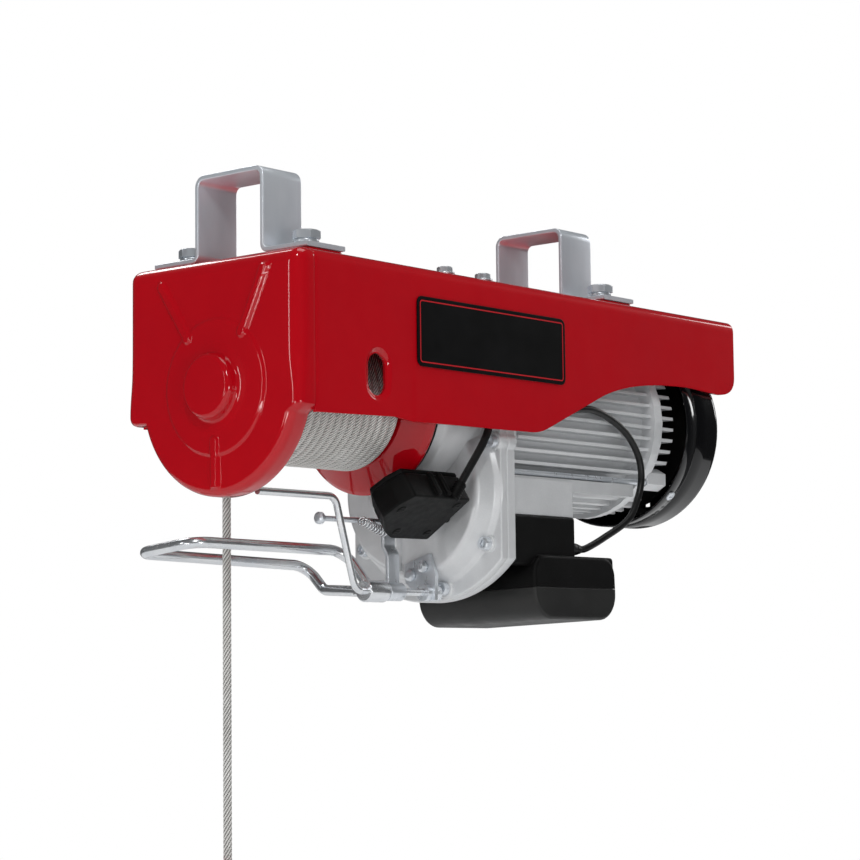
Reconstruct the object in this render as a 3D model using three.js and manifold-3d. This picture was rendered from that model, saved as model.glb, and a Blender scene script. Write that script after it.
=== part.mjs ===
// Electric wire-rope hoist, hung under a square beam by two bolted clamps.
// Millimetres. +X runs along the drum towards the motor, +Y away from the name-plate side, +Z up.
// The origin is on the upper face of the frame's top plate, midway between the two clamps.
import * as THREE from 'three';
import { mergeVertices } from 'three/addons/utils/BufferGeometryUtils.js';
import Module from 'manifold-3d';

// ---------- driving dimensions ----------
const frameLength = 500;
const frameWidth = 160;
const frameSheet = 2.5;
const frameBend = 8;
const drumSideDepth = 107;
const motorSideDepth = 57.4;
const slopeStart = 250;
const slopeEnd = 438;
const clampSpacing = 323.4;
const clampFromEnd = 36.3;
const clampWidth = 37;
const clampInnerWidth = 57.6;
const clampInnerHeight = 55.8;
const clampSheet = 3.3;
const clampBend = 8;
const clampFoot = 39;
const padHeight = 2;
const clampBoltRadius = 5;
const clampBoltHead = 17;
const axisOffset = -5;
const axisDepth = 86;
const endPlateSheet = 3;
const endPlateRadius = 72;
const lipDepth = 15.5;
const rimRound = 6;
const capRadius = 22;
const capReach = 10;
const barrelRadius = 30;
const windingRadius = 48;
const windingStart = 13.5;
const windingEnd = 134;
const drumFlangeRadius = 64;
const drumShaftRadius = 10;
const bearingRadius = 19;
const bearingWidth = 11;
const ropeRadius = 3;
const ropeStation = 61.5;
const ropeBottom = 400;
const gearCentres = 60;
const motorPinionTeeth = 8;
const firstGearTeeth = 56;
const layshaftPinionTeeth = 8;
const drumGearTeeth = 40;
const layshaftRadius = 6;
const neckStation = 157;
const canStation = 171;
const panStation = 195;
const flangeStation = 211.5;
const flangeSheet = 7;
const coverSheet = 9;
const canRadius = 57.5;
const panFaceRadius = 61;
const flangeHalfWidth = 69;
const flangeArcRadius = 96;
const flangeBottom = 223.8;
const caseWall = 3.5;
const caseScrewHead = 4.6;
const motorRingStation = 398;
const motorShellRadius = 56;
const motorBoreRadius = 49;
const motorFinRadius = 66.4;
const platePitch = 8.4;
const sidePlates = 10;
const bottomPlates = 9;
const motorRingRadius = 70;
const rotorRadius = 33;
const rotorShaftRadius = 7;
const tieRodRadius = 2;
const tieRodCircle = 70;
const tieRodAngle = 40;
const endBellLength = 27;
const fanCoverStation = 434;
const fanCoverLength = 52;
const fanCoverRadius = 75;
const fanCoverSheet = 1.8;
const fanRadius = 62;
const boxWidth = 97;
const boxHeight = 46;
const boxLength = 110;
const boxStation = 300;
const boxDepth = 213.5;
const boxTilt = 2;
const boxWall = 2.2;
const capacitorRadius = 17;
const motorLeadRadius = 2.6;
const switchLeadRadius = 2.8;
const shaftOffset = -22;
const shaftDepth = 217.5;
const feelerRadius = 2.5;
const loopRadius = 3.75;
const hubRadius = 6.5;
const gap = 0.3;
const runningGap = 0.1;

// ---------- stations worked out from them ----------
const drumEnd = -(clampFromEnd + clampSpacing / 2);
const at = (distance) => drumEnd + distance;
const axisZ = -axisDepth;
const layshaftZ = axisZ - gearCentres;
const wallInside = frameWidth / 2 - frameSheet;
const coverStation = flangeStation + flangeSheet + gap;
const motorStation = coverStation + coverSheet + gap;
const clampCentres = [at(clampFromEnd), at(clampFromEnd + clampSpacing)];
const footCentre = clampInnerWidth / 2 + clampSheet + 0.55 * clampFoot;
const ropeY = axisOffset + windingRadius + ropeRadius + gap;

const wasm = await Module();
wasm.setup();

// ---------- materials ----------
function paint(color, roughness, metalness) {
  return () => new THREE.MeshStandardMaterial({ color, roughness, metalness });
}
const redPaint = paint(0xa8001c, 0.3, 0.1);
const zinc = paint(0xc8d2d8, 0.35, 0.9);
const castAluminium = paint(0xc9cccb, 0.55, 0.6);
const steel = paint(0x9a9da0, 0.35, 0.9);
const ropeSteel = paint(0xb9b8b2, 0.45, 0.8);
const blackPlastic = paint(0x121214, 0.5, 0);
const glossBlack = paint(0x08080a, 0.2, 0);
const blackRubber = paint(0x17171a, 0.7, 0);
const brassYellow = paint(0xb08a3c, 0.4, 0.8);
const copper = paint(0xa65e34, 0.4, 0.8);

// ---------- solids ----------
// A closed solid from any closed geometry: welded, without slivers, faces outwards.
function solid(geometry) {
  const plain = geometry.index ? geometry.toNonIndexed() : geometry.clone();
  plain.deleteAttribute('normal');
  plain.deleteAttribute('uv');
  const welded = mergeVertices(plain, 1e-4);
  const corners = welded.index.array;
  const places = welded.attributes.position.array;
  const kept = [];
  let volume = 0;
  for (let i = 0; i < corners.length; i += 3) {
    const [a, b, c] = [corners[i], corners[i + 1], corners[i + 2]];
    if (a === b || b === c || c === a) {
      continue;
    }
    kept.push(a, b, c);
    const [p, q, r] = [a, b, c].map((v) => new THREE.Vector3().fromArray(places, 3 * v));
    volume += p.dot(q.cross(r));
  }
  if (volume < 0) {
    kept.reverse();
  }
  const mesh = new wasm.Mesh({
    numProp: 3,
    vertProperties: new Float32Array(places),
    triVerts: new Uint32Array(kept),
  });
  return new wasm.Manifold(mesh);
}

function geometryOf(body) {
  const mesh = body.getMesh();
  const geometry = new THREE.BufferGeometry();
  geometry.setAttribute('position', new THREE.BufferAttribute(mesh.vertProperties, 3));
  geometry.setIndex(new THREE.BufferAttribute(mesh.triVerts, 1));
  return geometry;
}

const join = (first, ...others) => others.reduce((sum, other) => sum.add(other), first);
const cut = (first, ...others) => others.reduce((rest, other) => rest.subtract(other), first);

function block([x0, x1], [y0, y1], [z0, z1]) {
  const geometry = new THREE.BoxGeometry(x1 - x0, y1 - y0, z1 - z0);
  geometry.translate((x0 + x1) / 2, (y0 + y1) / 2, (z0 + z1) / 2);
  return solid(geometry);
}

// A solid of revolution about a line parallel to X; the profile lists [x, radius].
function turned(profile, y = axisOffset, z = axisZ, sides = 24) {
  const points = profile.map(([x, radius]) => new THREE.Vector2(radius, x));
  if (profile[0][1] > 0) {
    points.push(points[0].clone());
  }
  const geometry = new THREE.LatheGeometry(points, sides);
  geometry.rotateZ(-Math.PI / 2);
  geometry.translate(0, y, z);
  return solid(geometry);
}

const disc = (radius, x0, x1, y, z, sides) => turned([[x0, 0], [x0, radius], [x1, radius], [x1, 0]], y, z, sides);

const ring = (outer, inner, x0, x1, y, z, sides) =>
  turned([[x0, inner], [x0, outer], [x1, outer], [x1, inner]], y, z, sides);

// A solid of revolution about a vertical line; the profile lists [z, radius].
function upright(profile, x, y, sides = 16) {
  const points = profile.map(([z, radius]) => new THREE.Vector2(radius, z));
  if (profile[0][1] > 0) {
    points.push(points[0].clone());
  }
  const geometry = new THREE.LatheGeometry(points, sides);
  geometry.rotateX(Math.PI / 2);
  geometry.translate(x, y, 0);
  return solid(geometry);
}

// An outline carried straight along one axis. The outline's two coordinates are
// (y, z) for axis x, (x, z) for axis y and (x, y) for axis z.
function extruded(shape, axis, from, to, curveSegments = 6) {
  const geometry = new THREE.ExtrudeGeometry(shape, { depth: to - from, bevelEnabled: false, curveSegments });
  if (axis === 'x') {
    geometry.applyMatrix4(new THREE.Matrix4().set(0, 0, 1, from, 1, 0, 0, 0, 0, 1, 0, 0, 0, 0, 0, 1));
  } else if (axis === 'y') {
    geometry.applyMatrix4(new THREE.Matrix4().set(1, 0, 0, 0, 0, 0, -1, to, 0, 1, 0, 0, 0, 0, 0, 1));
  } else {
    geometry.translate(0, 0, from);
  }
  return solid(geometry);
}

function polygon(points) {
  return new THREE.Shape(points.map(([u, v]) => new THREE.Vector2(u, v)));
}

// A rectangle with its four corners rounded.
function roundedRectangle(u0, u1, v0, v1, radius) {
  const shape = new THREE.Shape();
  shape.moveTo(u0 + radius, v0);
  shape.lineTo(u1 - radius, v0);
  shape.absarc(u1 - radius, v0 + radius, radius, -Math.PI / 2, 0);
  shape.lineTo(u1, v1 - radius);
  shape.absarc(u1 - radius, v1 - radius, radius, 0, Math.PI / 2);
  shape.lineTo(u0 + radius, v1);
  shape.absarc(u0 + radius, v1 - radius, radius, Math.PI / 2, Math.PI);
  shape.lineTo(u0, v0 + radius);
  shape.absarc(u0 + radius, v0 + radius, radius, Math.PI, 1.5 * Math.PI);
  return shape;
}

// A round bar or cable along a curve.
function alongCurve(curve, radius, sides, steps) {
  const section = new THREE.Shape();
  section.absarc(0, 0, radius, 0, 2 * Math.PI);
  const options = { steps, bevelEnabled: false, extrudePath: curve, curveSegments: sides };
  return solid(new THREE.ExtrudeGeometry(section, options));
}

function cable(points, radius, sides, steps) {
  const knots = points.map((point) => new THREE.Vector3(...point));
  return alongCurve(new THREE.CatmullRomCurve3(knots, false, 'centripetal'), radius, sides, steps);
}

// A round bar bent at each corner of a path.
function bentBar(points, bend, radius, sides = 5, steps = 40) {
  const knots = points.map((point) => new THREE.Vector3(...point));
  const path = new THREE.CurvePath();
  let from = knots[0];
  for (let i = 1; i < knots.length - 1; i += 1) {
    const before = knots[i].clone().sub(knots[i - 1]).normalize();
    const after = knots[i + 1].clone().sub(knots[i]).normalize();
    const start = knots[i].clone().addScaledVector(before, -bend);
    const end = knots[i].clone().addScaledVector(after, bend);
    path.add(new THREE.LineCurve3(from, start));
    path.add(new THREE.QuadraticBezierCurve3(start, knots[i], end));
    from = end;
  }
  path.add(new THREE.LineCurve3(from, knots[knots.length - 1]));
  return alongCurve(path, radius, sides, steps);
}

// A spur gear blank with straight-sided teeth, carried along X.
function gearSolid(teeth, size, x0, x1, y, z, turn = 0) {
  const pitch = (teeth * size) / 2;
  const points = [];
  for (let tooth = 0; tooth < teeth; tooth += 1) {
    const middle = (2 * Math.PI * (tooth + turn)) / teeth;
    const step = (2 * Math.PI) / teeth;
    const corners = [[-0.33, pitch - 1.2 * size], [-0.12, pitch + 0.9 * size],
      [0.12, pitch + 0.9 * size], [0.33, pitch - 1.2 * size]];
    for (const [share, radius] of corners) {
      const angle = middle + share * step;
      points.push([y + radius * Math.cos(angle), z + radius * Math.sin(angle)]);
    }
  }
  return extruded(polygon(points), 'x', x0, x1);
}

const hoist = new THREE.Group();

function add(name, body, material) {
  const mesh = new THREE.Mesh(geometryOf(body), material());
  mesh.name = name;
  hoist.add(mesh);
  return mesh;
}

// ---------- frame: folded sheet channel, open below ----------
function sideOutline() {
  const shape = new THREE.Shape();
  shape.moveTo(at(lipDepth + gap), 0);
  shape.lineTo(at(lipDepth + gap), -drumSideDepth);
  shape.lineTo(at(95), -drumSideDepth + 2.5);
  shape.lineTo(at(112), -drumSideDepth + 0.5);
  shape.lineTo(at(slopeStart), -drumSideDepth + 2.1);
  shape.lineTo(at(slopeStart + 71.6), -motorSideDepth - 16.9);
  shape.quadraticCurveTo(at(slopeStart + 111), -motorSideDepth, at(slopeEnd), -motorSideDepth);
  shape.lineTo(at(frameLength - 28), -motorSideDepth - 2);
  shape.quadraticCurveTo(at(frameLength), -motorSideDepth - 3.6, at(frameLength), -motorSideDepth + 13.4);
  shape.lineTo(at(frameLength), 0);
  return shape;
}

function channelSection(half, top, radius) {
  const shape = new THREE.Shape();
  shape.moveTo(-half, -drumSideDepth - 5);
  shape.lineTo(half, -drumSideDepth - 5);
  shape.lineTo(half, top - radius);
  shape.absarc(half - radius, top - radius, radius, 0, Math.PI / 2);
  shape.lineTo(-half + radius, top);
  shape.absarc(-half + radius, top - radius, radius, Math.PI / 2, Math.PI);
  return shape;
}

function frameChannel() {
  const half = frameWidth / 2;
  const outside = extruded(channelSection(half, 0, frameBend), 'x', at(0), at(frameLength) + 1);
  const inside = extruded(channelSection(wallInside, -frameSheet, frameBend - frameSheet), 'x', at(-1), at(frameLength) + 2);
  const outline = extruded(sideOutline(), 'y', -half - 5, half + 5, 12);
  let body = cut(outside, inside).intersect(outline);
  const slot = roundedRectangle(at(77) - 8.7, at(77) + 8.7, -91.5, -63.5, 8.6);
  body = cut(body, extruded(slot, 'y', -half - 5, half + 5));
  for (const x of clampCentres) {
    for (const side of [-1, 1]) {
      const inner = side * (clampInnerWidth / 2 + 1);
      const outer = side * (clampInnerWidth / 2 + clampSheet + clampFoot + 1);
      const [y0, y1] = [Math.min(inner, outer), Math.max(inner, outer)];
      body = join(body, block([x - clampWidth / 2 - 2, x + clampWidth / 2 + 2], [y0, y1], [-1, padHeight]));
      body = cut(body, upright([[-frameSheet - 2, 0], [-frameSheet - 2, clampBoltRadius + gap],
        [padHeight + 1, clampBoltRadius + gap], [padHeight + 1, 0]], x, side * footCentre, 20));
    }
  }
  for (const [x, y] of caseBoltPlaces()) {
    body = cut(body, upright([[-frameSheet - 2, 0], [-frameSheet - 2, 3.3], [1, 3.3], [1, 0]], x, y, 16));
  }
  return body;
}

function caseBoltPlaces() {
  const places = [];
  for (const x of [at(162.5), at(204)]) {
    for (const y of [axisOffset - 61, axisOffset + 61]) {
      places.push([x, y]);
    }
  }
  return places;
}
add('frame_channel', frameChannel(), redPaint);

// ---------- pressed end plate over the drum ----------
function endPlateOutline(inset = 0) {
  const half = frameWidth / 2 - inset;
  const radius = endPlateRadius - inset;
  const corner = frameBend - Math.min(inset, frameBend - 2);
  const nearAngle = Math.PI + Math.asin((drumSideDepth - axisDepth) / radius);
  const farAngle = -Math.asin(28 / radius);
  const shape = new THREE.Shape();
  shape.moveTo(-half + corner, -inset);
  shape.absarc(-half + corner, -inset - corner, corner, Math.PI / 2, Math.PI);
  shape.lineTo(-half, -drumSideDepth + 6);
  shape.lineTo(axisOffset + radius * Math.cos(nearAngle), -drumSideDepth);
  shape.absarc(axisOffset, axisZ, radius, nearAngle, 2 * Math.PI + farAngle);
  shape.quadraticCurveTo(half - 1, axisZ - 20, half, axisZ - 4);
  shape.lineTo(half, -inset - corner);
  shape.absarc(half - corner, -inset - corner, corner, 0, Math.PI / 2);
  return shape;
}

// A raised rib on the plate's face from one (y, z) to another.
function rib([y0, z0], [y1, z1], width, height) {
  const length = Math.hypot(y1 - y0, z1 - z0);
  const geometry = new THREE.BoxGeometry(height + 1, length, width);
  geometry.rotateX(Math.atan2(z1 - z0, y1 - y0));
  geometry.translate(at(0) - height / 2 + 0.5, (y0 + y1) / 2, (z0 + z1) / 2);
  return solid(geometry);
}

// A pan: face, rounded rim and lip, pressed from one sheet.
function endPlate() {
  const round = rimRound;
  const options = { depth: 40, bevelThickness: round, bevelSize: round, bevelOffset: -round, bevelSegments: 3,
    curveSegments: 14 };
  const rolled = new THREE.ExtrudeGeometry(endPlateOutline(), options);
  rolled.applyMatrix4(new THREE.Matrix4().set(0, 0, 1, at(round), 1, 0, 0, 0, 0, 1, 0, 0, 0, 0, 0, 1));
  const behind = block([at(lipDepth), at(80)], [-frameWidth, frameWidth], [-200, 20]);
  const hollow = extruded(endPlateOutline(endPlateSheet), 'x', at(endPlateSheet + 2), at(lipDepth + 1), 14);
  const dome = turned([[at(1), 0], [at(1), 45], [at(-1.5), 43], [at(-2), 31], [at(-4), 27],
    [at(-4.5), capRadius + 3], [at(-capReach + 2), capRadius + 1], [at(-capReach), capRadius - 2],
    [at(-capReach), 0]], axisOffset, axisZ, 28);
  let body = join(cut(solid(rolled), behind, hollow), dome);
  body = join(body, rib([axisOffset + 25, axisZ + 34], [axisOffset + 48, -16], 7, 2));
  body = join(body, rib([axisOffset - 25, axisZ + 34], [axisOffset - 45, -11], 7, 2));
  body = join(body, rib([axisOffset, axisZ - 38], [axisOffset, axisZ - 65], 7, 2));
  const seat = disc(bearingRadius + gap, at(-capReach + 2.5), at(10), axisOffset, axisZ, 28);
  return cut(body, seat);
}
add('end_plate', endPlate(), redPaint);

// ---------- name plate, left blank ----------
const plateFace = -frameWidth / 2 - gap;
add('name_plate', extruded(roundedRectangle(at(115.4), at(279), -68.6, -20.8, 4), 'y', plateFace - 0.9, plateFace, 4),
  glossBlack);

// ---------- beam clamps: hat-shaped straps with bolted feet ----------
function clampOutline() {
  const inner = clampInnerWidth / 2;
  const outer = inner + clampSheet;
  const foot = outer + clampFoot;
  const top = padHeight + gap + clampInnerHeight + clampSheet;
  const base = padHeight + gap;
  const bend = clampBend;
  const small = bend - clampSheet;
  const shape = new THREE.Shape();
  shape.moveTo(-foot, base);
  shape.lineTo(-inner - bend, base);
  shape.absarc(-inner - bend, base + bend, bend, -Math.PI / 2, 0);
  shape.lineTo(-inner, top - clampSheet - small);
  shape.absarc(-inner + small, top - clampSheet - small, small, Math.PI, Math.PI / 2, true);
  shape.lineTo(inner - small, top - clampSheet);
  shape.absarc(inner - small, top - clampSheet - small, small, Math.PI / 2, 0, true);
  shape.lineTo(inner, base + bend);
  shape.absarc(inner + bend, base + bend, bend, Math.PI, 1.5 * Math.PI);
  shape.lineTo(foot, base);
  shape.lineTo(foot, base + clampSheet);
  shape.lineTo(outer + small, base + clampSheet);
  shape.absarc(outer + small, base + clampSheet + small, small, 1.5 * Math.PI, Math.PI, true);
  shape.lineTo(outer, top - bend);
  shape.absarc(outer - bend, top - bend, bend, 0, Math.PI / 2);
  shape.lineTo(-outer + bend, top);
  shape.absarc(-outer + bend, top - bend, bend, Math.PI / 2, Math.PI);
  shape.lineTo(-outer, base + clampSheet + small);
  shape.absarc(-outer - small, base + clampSheet + small, small, 0, -Math.PI / 2, true);
  shape.lineTo(-foot, base + clampSheet);
  return shape;
}

clampCentres.forEach((x, index) => {
  let strap = extruded(clampOutline(), 'x', x - clampWidth / 2, x + clampWidth / 2, 3);
  for (const y of [-footCentre, footCentre]) {
    strap = cut(strap, upright([[0, 0], [0, clampBoltRadius + gap], [10, clampBoltRadius + gap], [10, 0]], x, y, 20));
  }
  add(index === 0 ? 'beam_clamp_drum_end' : 'beam_clamp_motor_end', strap, zinc);
});

// A hexagon-headed bolt with its washers and nut, standing through a flat stack.
function hexBolt(x, y, seat, under, radius, acrossFlats) {
  const washer = acrossFlats * 0.62;
  const head = acrossFlats / Math.sqrt(3);
  const hexagon = (z0, z1) => {
    const geometry = new THREE.CylinderGeometry(head, head, z1 - z0, 6);
    geometry.rotateX(Math.PI / 2);
    geometry.translate(x, y, (z0 + z1) / 2);
    return solid(geometry);
  };
  const washers = upright([[seat + gap, 0], [seat + gap, washer], [seat + gap + radius * 0.9, washer],
    [seat + gap + radius * 0.9, 0]], x, y, 18);
  const top = seat + gap + radius * 0.8;
  const shank = upright([[under - radius * 2.4, 0], [under - radius * 2.4, radius], [top, radius], [top, 0]], x, y, 16);
  const nut = hexagon(under - gap - radius * 1.5, under - gap);
  return join(shank, washers, hexagon(top, top + radius * 1.28), nut);
}

let boltNumber = 0;
for (const x of clampCentres) {
  for (const y of [-footCentre, footCentre]) {
    boltNumber += 1;
    const seat = padHeight + gap + clampSheet;
    add(`clamp_bolt_${boltNumber}`, hexBolt(x, y, seat, -frameSheet, clampBoltRadius, clampBoltHead), zinc);
  }
}

// ---------- drum, wound rope, shaft and bearings ----------
const shaftBore = drumShaftRadius + 2 + gap;
add('drum', turned([
  [at(8.5), shaftBore], [at(8.5), drumFlangeRadius], [at(11), drumFlangeRadius], [at(11), barrelRadius],
  [at(windingEnd + 0.5), barrelRadius], [at(windingEnd + 0.5), windingRadius - 1],
  [at(windingEnd + 11.5), drumFlangeRadius - 2], [at(windingEnd + 14), drumFlangeRadius],
  [at(windingEnd + 17.5), drumFlangeRadius], [at(windingEnd + 17.5), drumFlangeRadius - 2.5],
  [at(windingEnd + 14), drumFlangeRadius - 3.5], [at(windingEnd + 4), windingRadius - 2],
  [at(windingEnd + 4), shaftBore]], axisOffset, axisZ, 36), redPaint);
add('rope_winding', ring(windingRadius, barrelRadius + gap, at(windingStart), at(windingEnd), axisOffset, axisZ, 36),
  ropeSteel);
add('drum_shaft', turned([
  [at(-6.5), 0], [at(-6.5), drumShaftRadius], [at(7.5), drumShaftRadius], [at(7.5), drumShaftRadius + 2],
  [at(neckStation - 1), drumShaftRadius + 2], [at(neckStation - 1), drumShaftRadius],
  [at(190), drumShaftRadius], [at(190), 0]],
  axisOffset, axisZ, 28), steel);
const bearingBore = drumShaftRadius + runningGap;
add('outboard_bearing', ring(bearingRadius, bearingBore, at(-7), at(-7 + bearingWidth), axisOffset, axisZ, 32), steel);
const secondSize = (2 * gearCentres) / (layshaftPinionTeeth + drumGearTeeth);
const firstSize = (2 * gearCentres) / (motorPinionTeeth + firstGearTeeth);
const secondGearStation = canStation + 5;
add('drum_gear', cut(
  gearSolid(drumGearTeeth, secondSize, at(secondGearStation), at(secondGearStation + 12), axisOffset, axisZ, 0),
  disc(drumShaftRadius + gap, at(150), at(200), axisOffset, axisZ, 28)), steel);

// ---------- layshaft ----------
add('layshaft', join(
  disc(layshaftRadius, at(canStation + 0.5), at(coverStation + 4), axisOffset, layshaftZ, 24),
  gearSolid(layshaftPinionTeeth, secondSize, at(secondGearStation - 1), at(secondGearStation + 13), axisOffset,
    layshaftZ, 0.5)), steel);
const firstGearStation = panStation + 8;
add('layshaft_gear', cut(
  gearSolid(firstGearTeeth, firstSize, at(firstGearStation), at(firstGearStation + 7), axisOffset, layshaftZ, 0.5),
  disc(layshaftRadius + gap, at(180), at(240), axisOffset, layshaftZ, 24)), steel);

// ---------- gear case: drum-side half ----------
function flangeOutline(inset = 0) {
  const half = flangeHalfWidth - inset;
  const radius = flangeArcRadius - inset;
  const centre = -flangeBottom + flangeArcRadius;
  const angle = Math.acos(half / radius);
  const shape = new THREE.Shape();
  shape.moveTo(axisOffset - half, -frameSheet - 1 - inset);
  shape.lineTo(axisOffset - half, centre - radius * Math.sin(angle));
  shape.absarc(axisOffset, centre, radius, Math.PI + angle, 2 * Math.PI - angle);
  shape.lineTo(axisOffset + half, -frameSheet - 1 - inset);
  return shape;
}

const caseScrewPlaces = [[-64, -112.5], [-57, -184], [-18, -214.5], [57, -184]]
  .map(([y, z]) => [axisOffset + y, z]);

function gearCase() {
  const flange = extruded(flangeOutline(), 'x', at(flangeStation), at(flangeStation + flangeSheet), 14);
  const neck = turned([[at(neckStation), 0], [at(neckStation), 44], [at(canStation), canRadius],
    [at(flangeStation + 1), canRadius], [at(flangeStation + 1), 0]], axisOffset, axisZ, 28);
  const pan = turned([[at(panStation), 0], [at(panStation), panFaceRadius], [at(flangeStation - 3), flangeHalfWidth - 3],
    [at(flangeStation + 1), flangeHalfWidth - 0.5], [at(flangeStation + 1), 0]], axisOffset, layshaftZ, 36);
  const raised = disc(panFaceRadius - 5, at(panStation - 7), at(panStation + 1), axisOffset, layshaftZ, 32);
  const nearHalf = block([at(panStation - 9), at(panStation)], [-frameWidth, axisOffset + 9], [-260, 0]);
  const boss = disc(19, at(canStation - 4), at(panStation + 1), axisOffset, layshaftZ, 32);
  let body = join(flange, neck, pan, cut(raised, nearHalf), boss);
  for (const side of [-1, 1]) {
    const [y0, y1] = side < 0 ? [axisOffset - 67, axisOffset - 52] : [axisOffset + 52, axisOffset + 67];
    body = join(body, block([at(155), at(flangeStation + 1)], [y0, y1], [-52, -frameSheet - gap]));
  }
  for (const [y, z] of caseScrewPlaces) {
    body = join(body, disc(6.5, at(flangeStation - 1.5), at(flangeStation + 1), y, z, 14));
    body = join(body, disc(6.5, at(flangeStation - 1.5), at(flangeStation + flangeSheet), y, z, 14));
  }
  const inner = canRadius - caseWall;
  body = cut(body,
    disc(inner, at(canStation + 3), at(flangeStation + flangeSheet + 1), axisOffset, axisZ, 28),
    disc(panFaceRadius - 3.2, at(panStation + 5), at(flangeStation + flangeSheet + 1), axisOffset, layshaftZ, 32),
    disc(15, at(canStation + 3), at(panStation + 6), axisOffset, layshaftZ, 24),
    disc(layshaftRadius + runningGap, at(canStation), at(canStation + 4), axisOffset, layshaftZ, 24),
    disc(drumShaftRadius + runningGap, at(neckStation - 1), at(canStation + 4), axisOffset, axisZ, 32));
  for (const [y, z] of caseScrewPlaces) {
    body = cut(body, disc(3.3, at(flangeStation - 3), at(flangeStation + flangeSheet + 1), y, z, 12),
      disc(caseScrewHead + 1, at(flangeStation - 9), at(flangeStation - 1.5), y, z, 14));
  }
  for (const [x, y] of caseBoltPlaces()) {
    body = cut(body, upright([[-20, 0], [-20, 3.3], [0, 3.3], [0, 0]], x, y, 16));
  }
  return body;
}
add('gear_case', gearCase(), castAluminium);

// ---------- gear case cover: motor-side half ----------
function gearCaseCover() {
  let body = extruded(flangeOutline(), 'x', at(coverStation), at(coverStation + coverSheet), 14);
  for (const [y, z] of caseScrewPlaces) {
    body = join(body, disc(7, at(coverStation), at(coverStation + coverSheet), y, z, 14));
    body = cut(body, disc(3.3, at(coverStation - 1), at(coverStation + 7), y, z, 16));
  }
  return cut(body,
    disc(rotorShaftRadius + runningGap, at(coverStation - 1), at(coverStation + coverSheet + 1), axisOffset, axisZ, 24),
    disc(layshaftRadius + runningGap, at(coverStation - 1), at(coverStation + 5), axisOffset, layshaftZ, 24));
}
add('gear_case_cover', gearCaseCover(), castAluminium);

caseScrewPlaces.forEach(([y, z], index) => {
  const seat = flangeStation - 1.5 - gap;
  const shank = disc(3, at(seat - 1), at(coverStation + 6), y, z, 12);
  const head = disc(caseScrewHead, at(seat - 5), at(seat), y, z, 20);
  const socket = disc(2.4, at(seat - 6), at(seat - 2.2), y, z, 6);
  add(`gear_case_screw_${index + 1}`, cut(join(shank, head), socket), zinc);
});

caseBoltPlaces().forEach(([x, y], index) => {
  const shank = upright([[-18, 0], [-18, 3], [2, 3], [2, 0]], x, y, 12);
  const head = upright([[gap, 0], [gap, 7], [1.6, 7], [1.7, 5.6], [5.6, 5.6], [5.6, 0]], x, y, 6);
  add(`gear_case_bolt_${index + 1}`, join(shank, head), zinc);
});

// ---------- rubber ring that closes the gap behind the drum flange ----------
add('drum_shield_ring', ring(61.5, 45, at(153), at(neckStation - gap), axisOffset, axisZ, 28), blackRubber);

// ---------- motor housing: finned die casting with a foot for the capacitor box ----------
// Flat cooling plates between two stations: level ones on both sides, upright ones below.
function coolingPlates(from, to, reach) {
  const round = disc(reach, at(from), at(to), axisOffset, axisZ, 36);
  const plates = [];
  for (let k = 0; k < sidePlates; k += 1) {
    const z = axisZ + (k - (sidePlates - 1) / 2) * platePitch;
    plates.push(block([at(from), at(to)], [axisOffset - reach, axisOffset + reach], [z - 1.2, z + 1.2]));
  }
  for (let k = 0; k < bottomPlates; k += 1) {
    const y = axisOffset + (k - (bottomPlates - 1) / 2) * platePitch;
    plates.push(block([at(from), at(to)], [y - 1.3, y + 1.3], [axisZ - reach, axisZ - 40]));
  }
  return join(...plates).intersect(round);
}

const tieRodPlaces = [];
for (const angle of [180 + tieRodAngle, 360 - tieRodAngle]) {
  const turn = THREE.MathUtils.degToRad(angle);
  tieRodPlaces.push([axisOffset + tieRodCircle * Math.cos(turn), axisZ + tieRodCircle * Math.sin(turn)]);
}

function motorHousing() {
  const finStart = motorStation + 12;
  const shell = turned([[at(motorStation), 0], [at(motorStation), 66], [at(motorStation + 9), 66],
    [at(finStart + 8), motorShellRadius + 2], [at(motorRingStation + 7), motorShellRadius + 2],
    [at(motorRingStation + 7), 0]], axisOffset, axisZ, 36);
  const collar = disc(motorRingRadius, at(motorRingStation), at(motorRingStation + 7), axisOffset, axisZ, 36);
  const rail = block([at(motorStation), at(motorRingStation - 12)], [axisOffset - 57, axisOffset + 57],
    [axisZ - 57, axisZ - 48]);
  const foot = block([at(motorStation), at(motorStation + 78)], [axisOffset - 60, axisOffset + 56],
    [axisZ - 76, axisZ - 50]);
  let body = join(shell, coolingPlates(finStart, motorRingStation + 1, motorFinRadius), collar, rail, foot);
  body = cut(body, disc(motorBoreRadius, at(motorStation + 9), at(motorRingStation + 9), axisOffset, axisZ, 28),
    disc(rotorShaftRadius + 1.5, at(motorStation - 1), at(motorStation + 10), axisOffset, axisZ, 28));
  for (const [y, z] of tieRodPlaces) {
    body = cut(body, disc(tieRodRadius + 1.2, at(motorStation - 1), at(motorRingStation + 9), y, z, 14));
  }
  return body;
}
add('motor_housing', motorHousing(), castAluminium);

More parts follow.
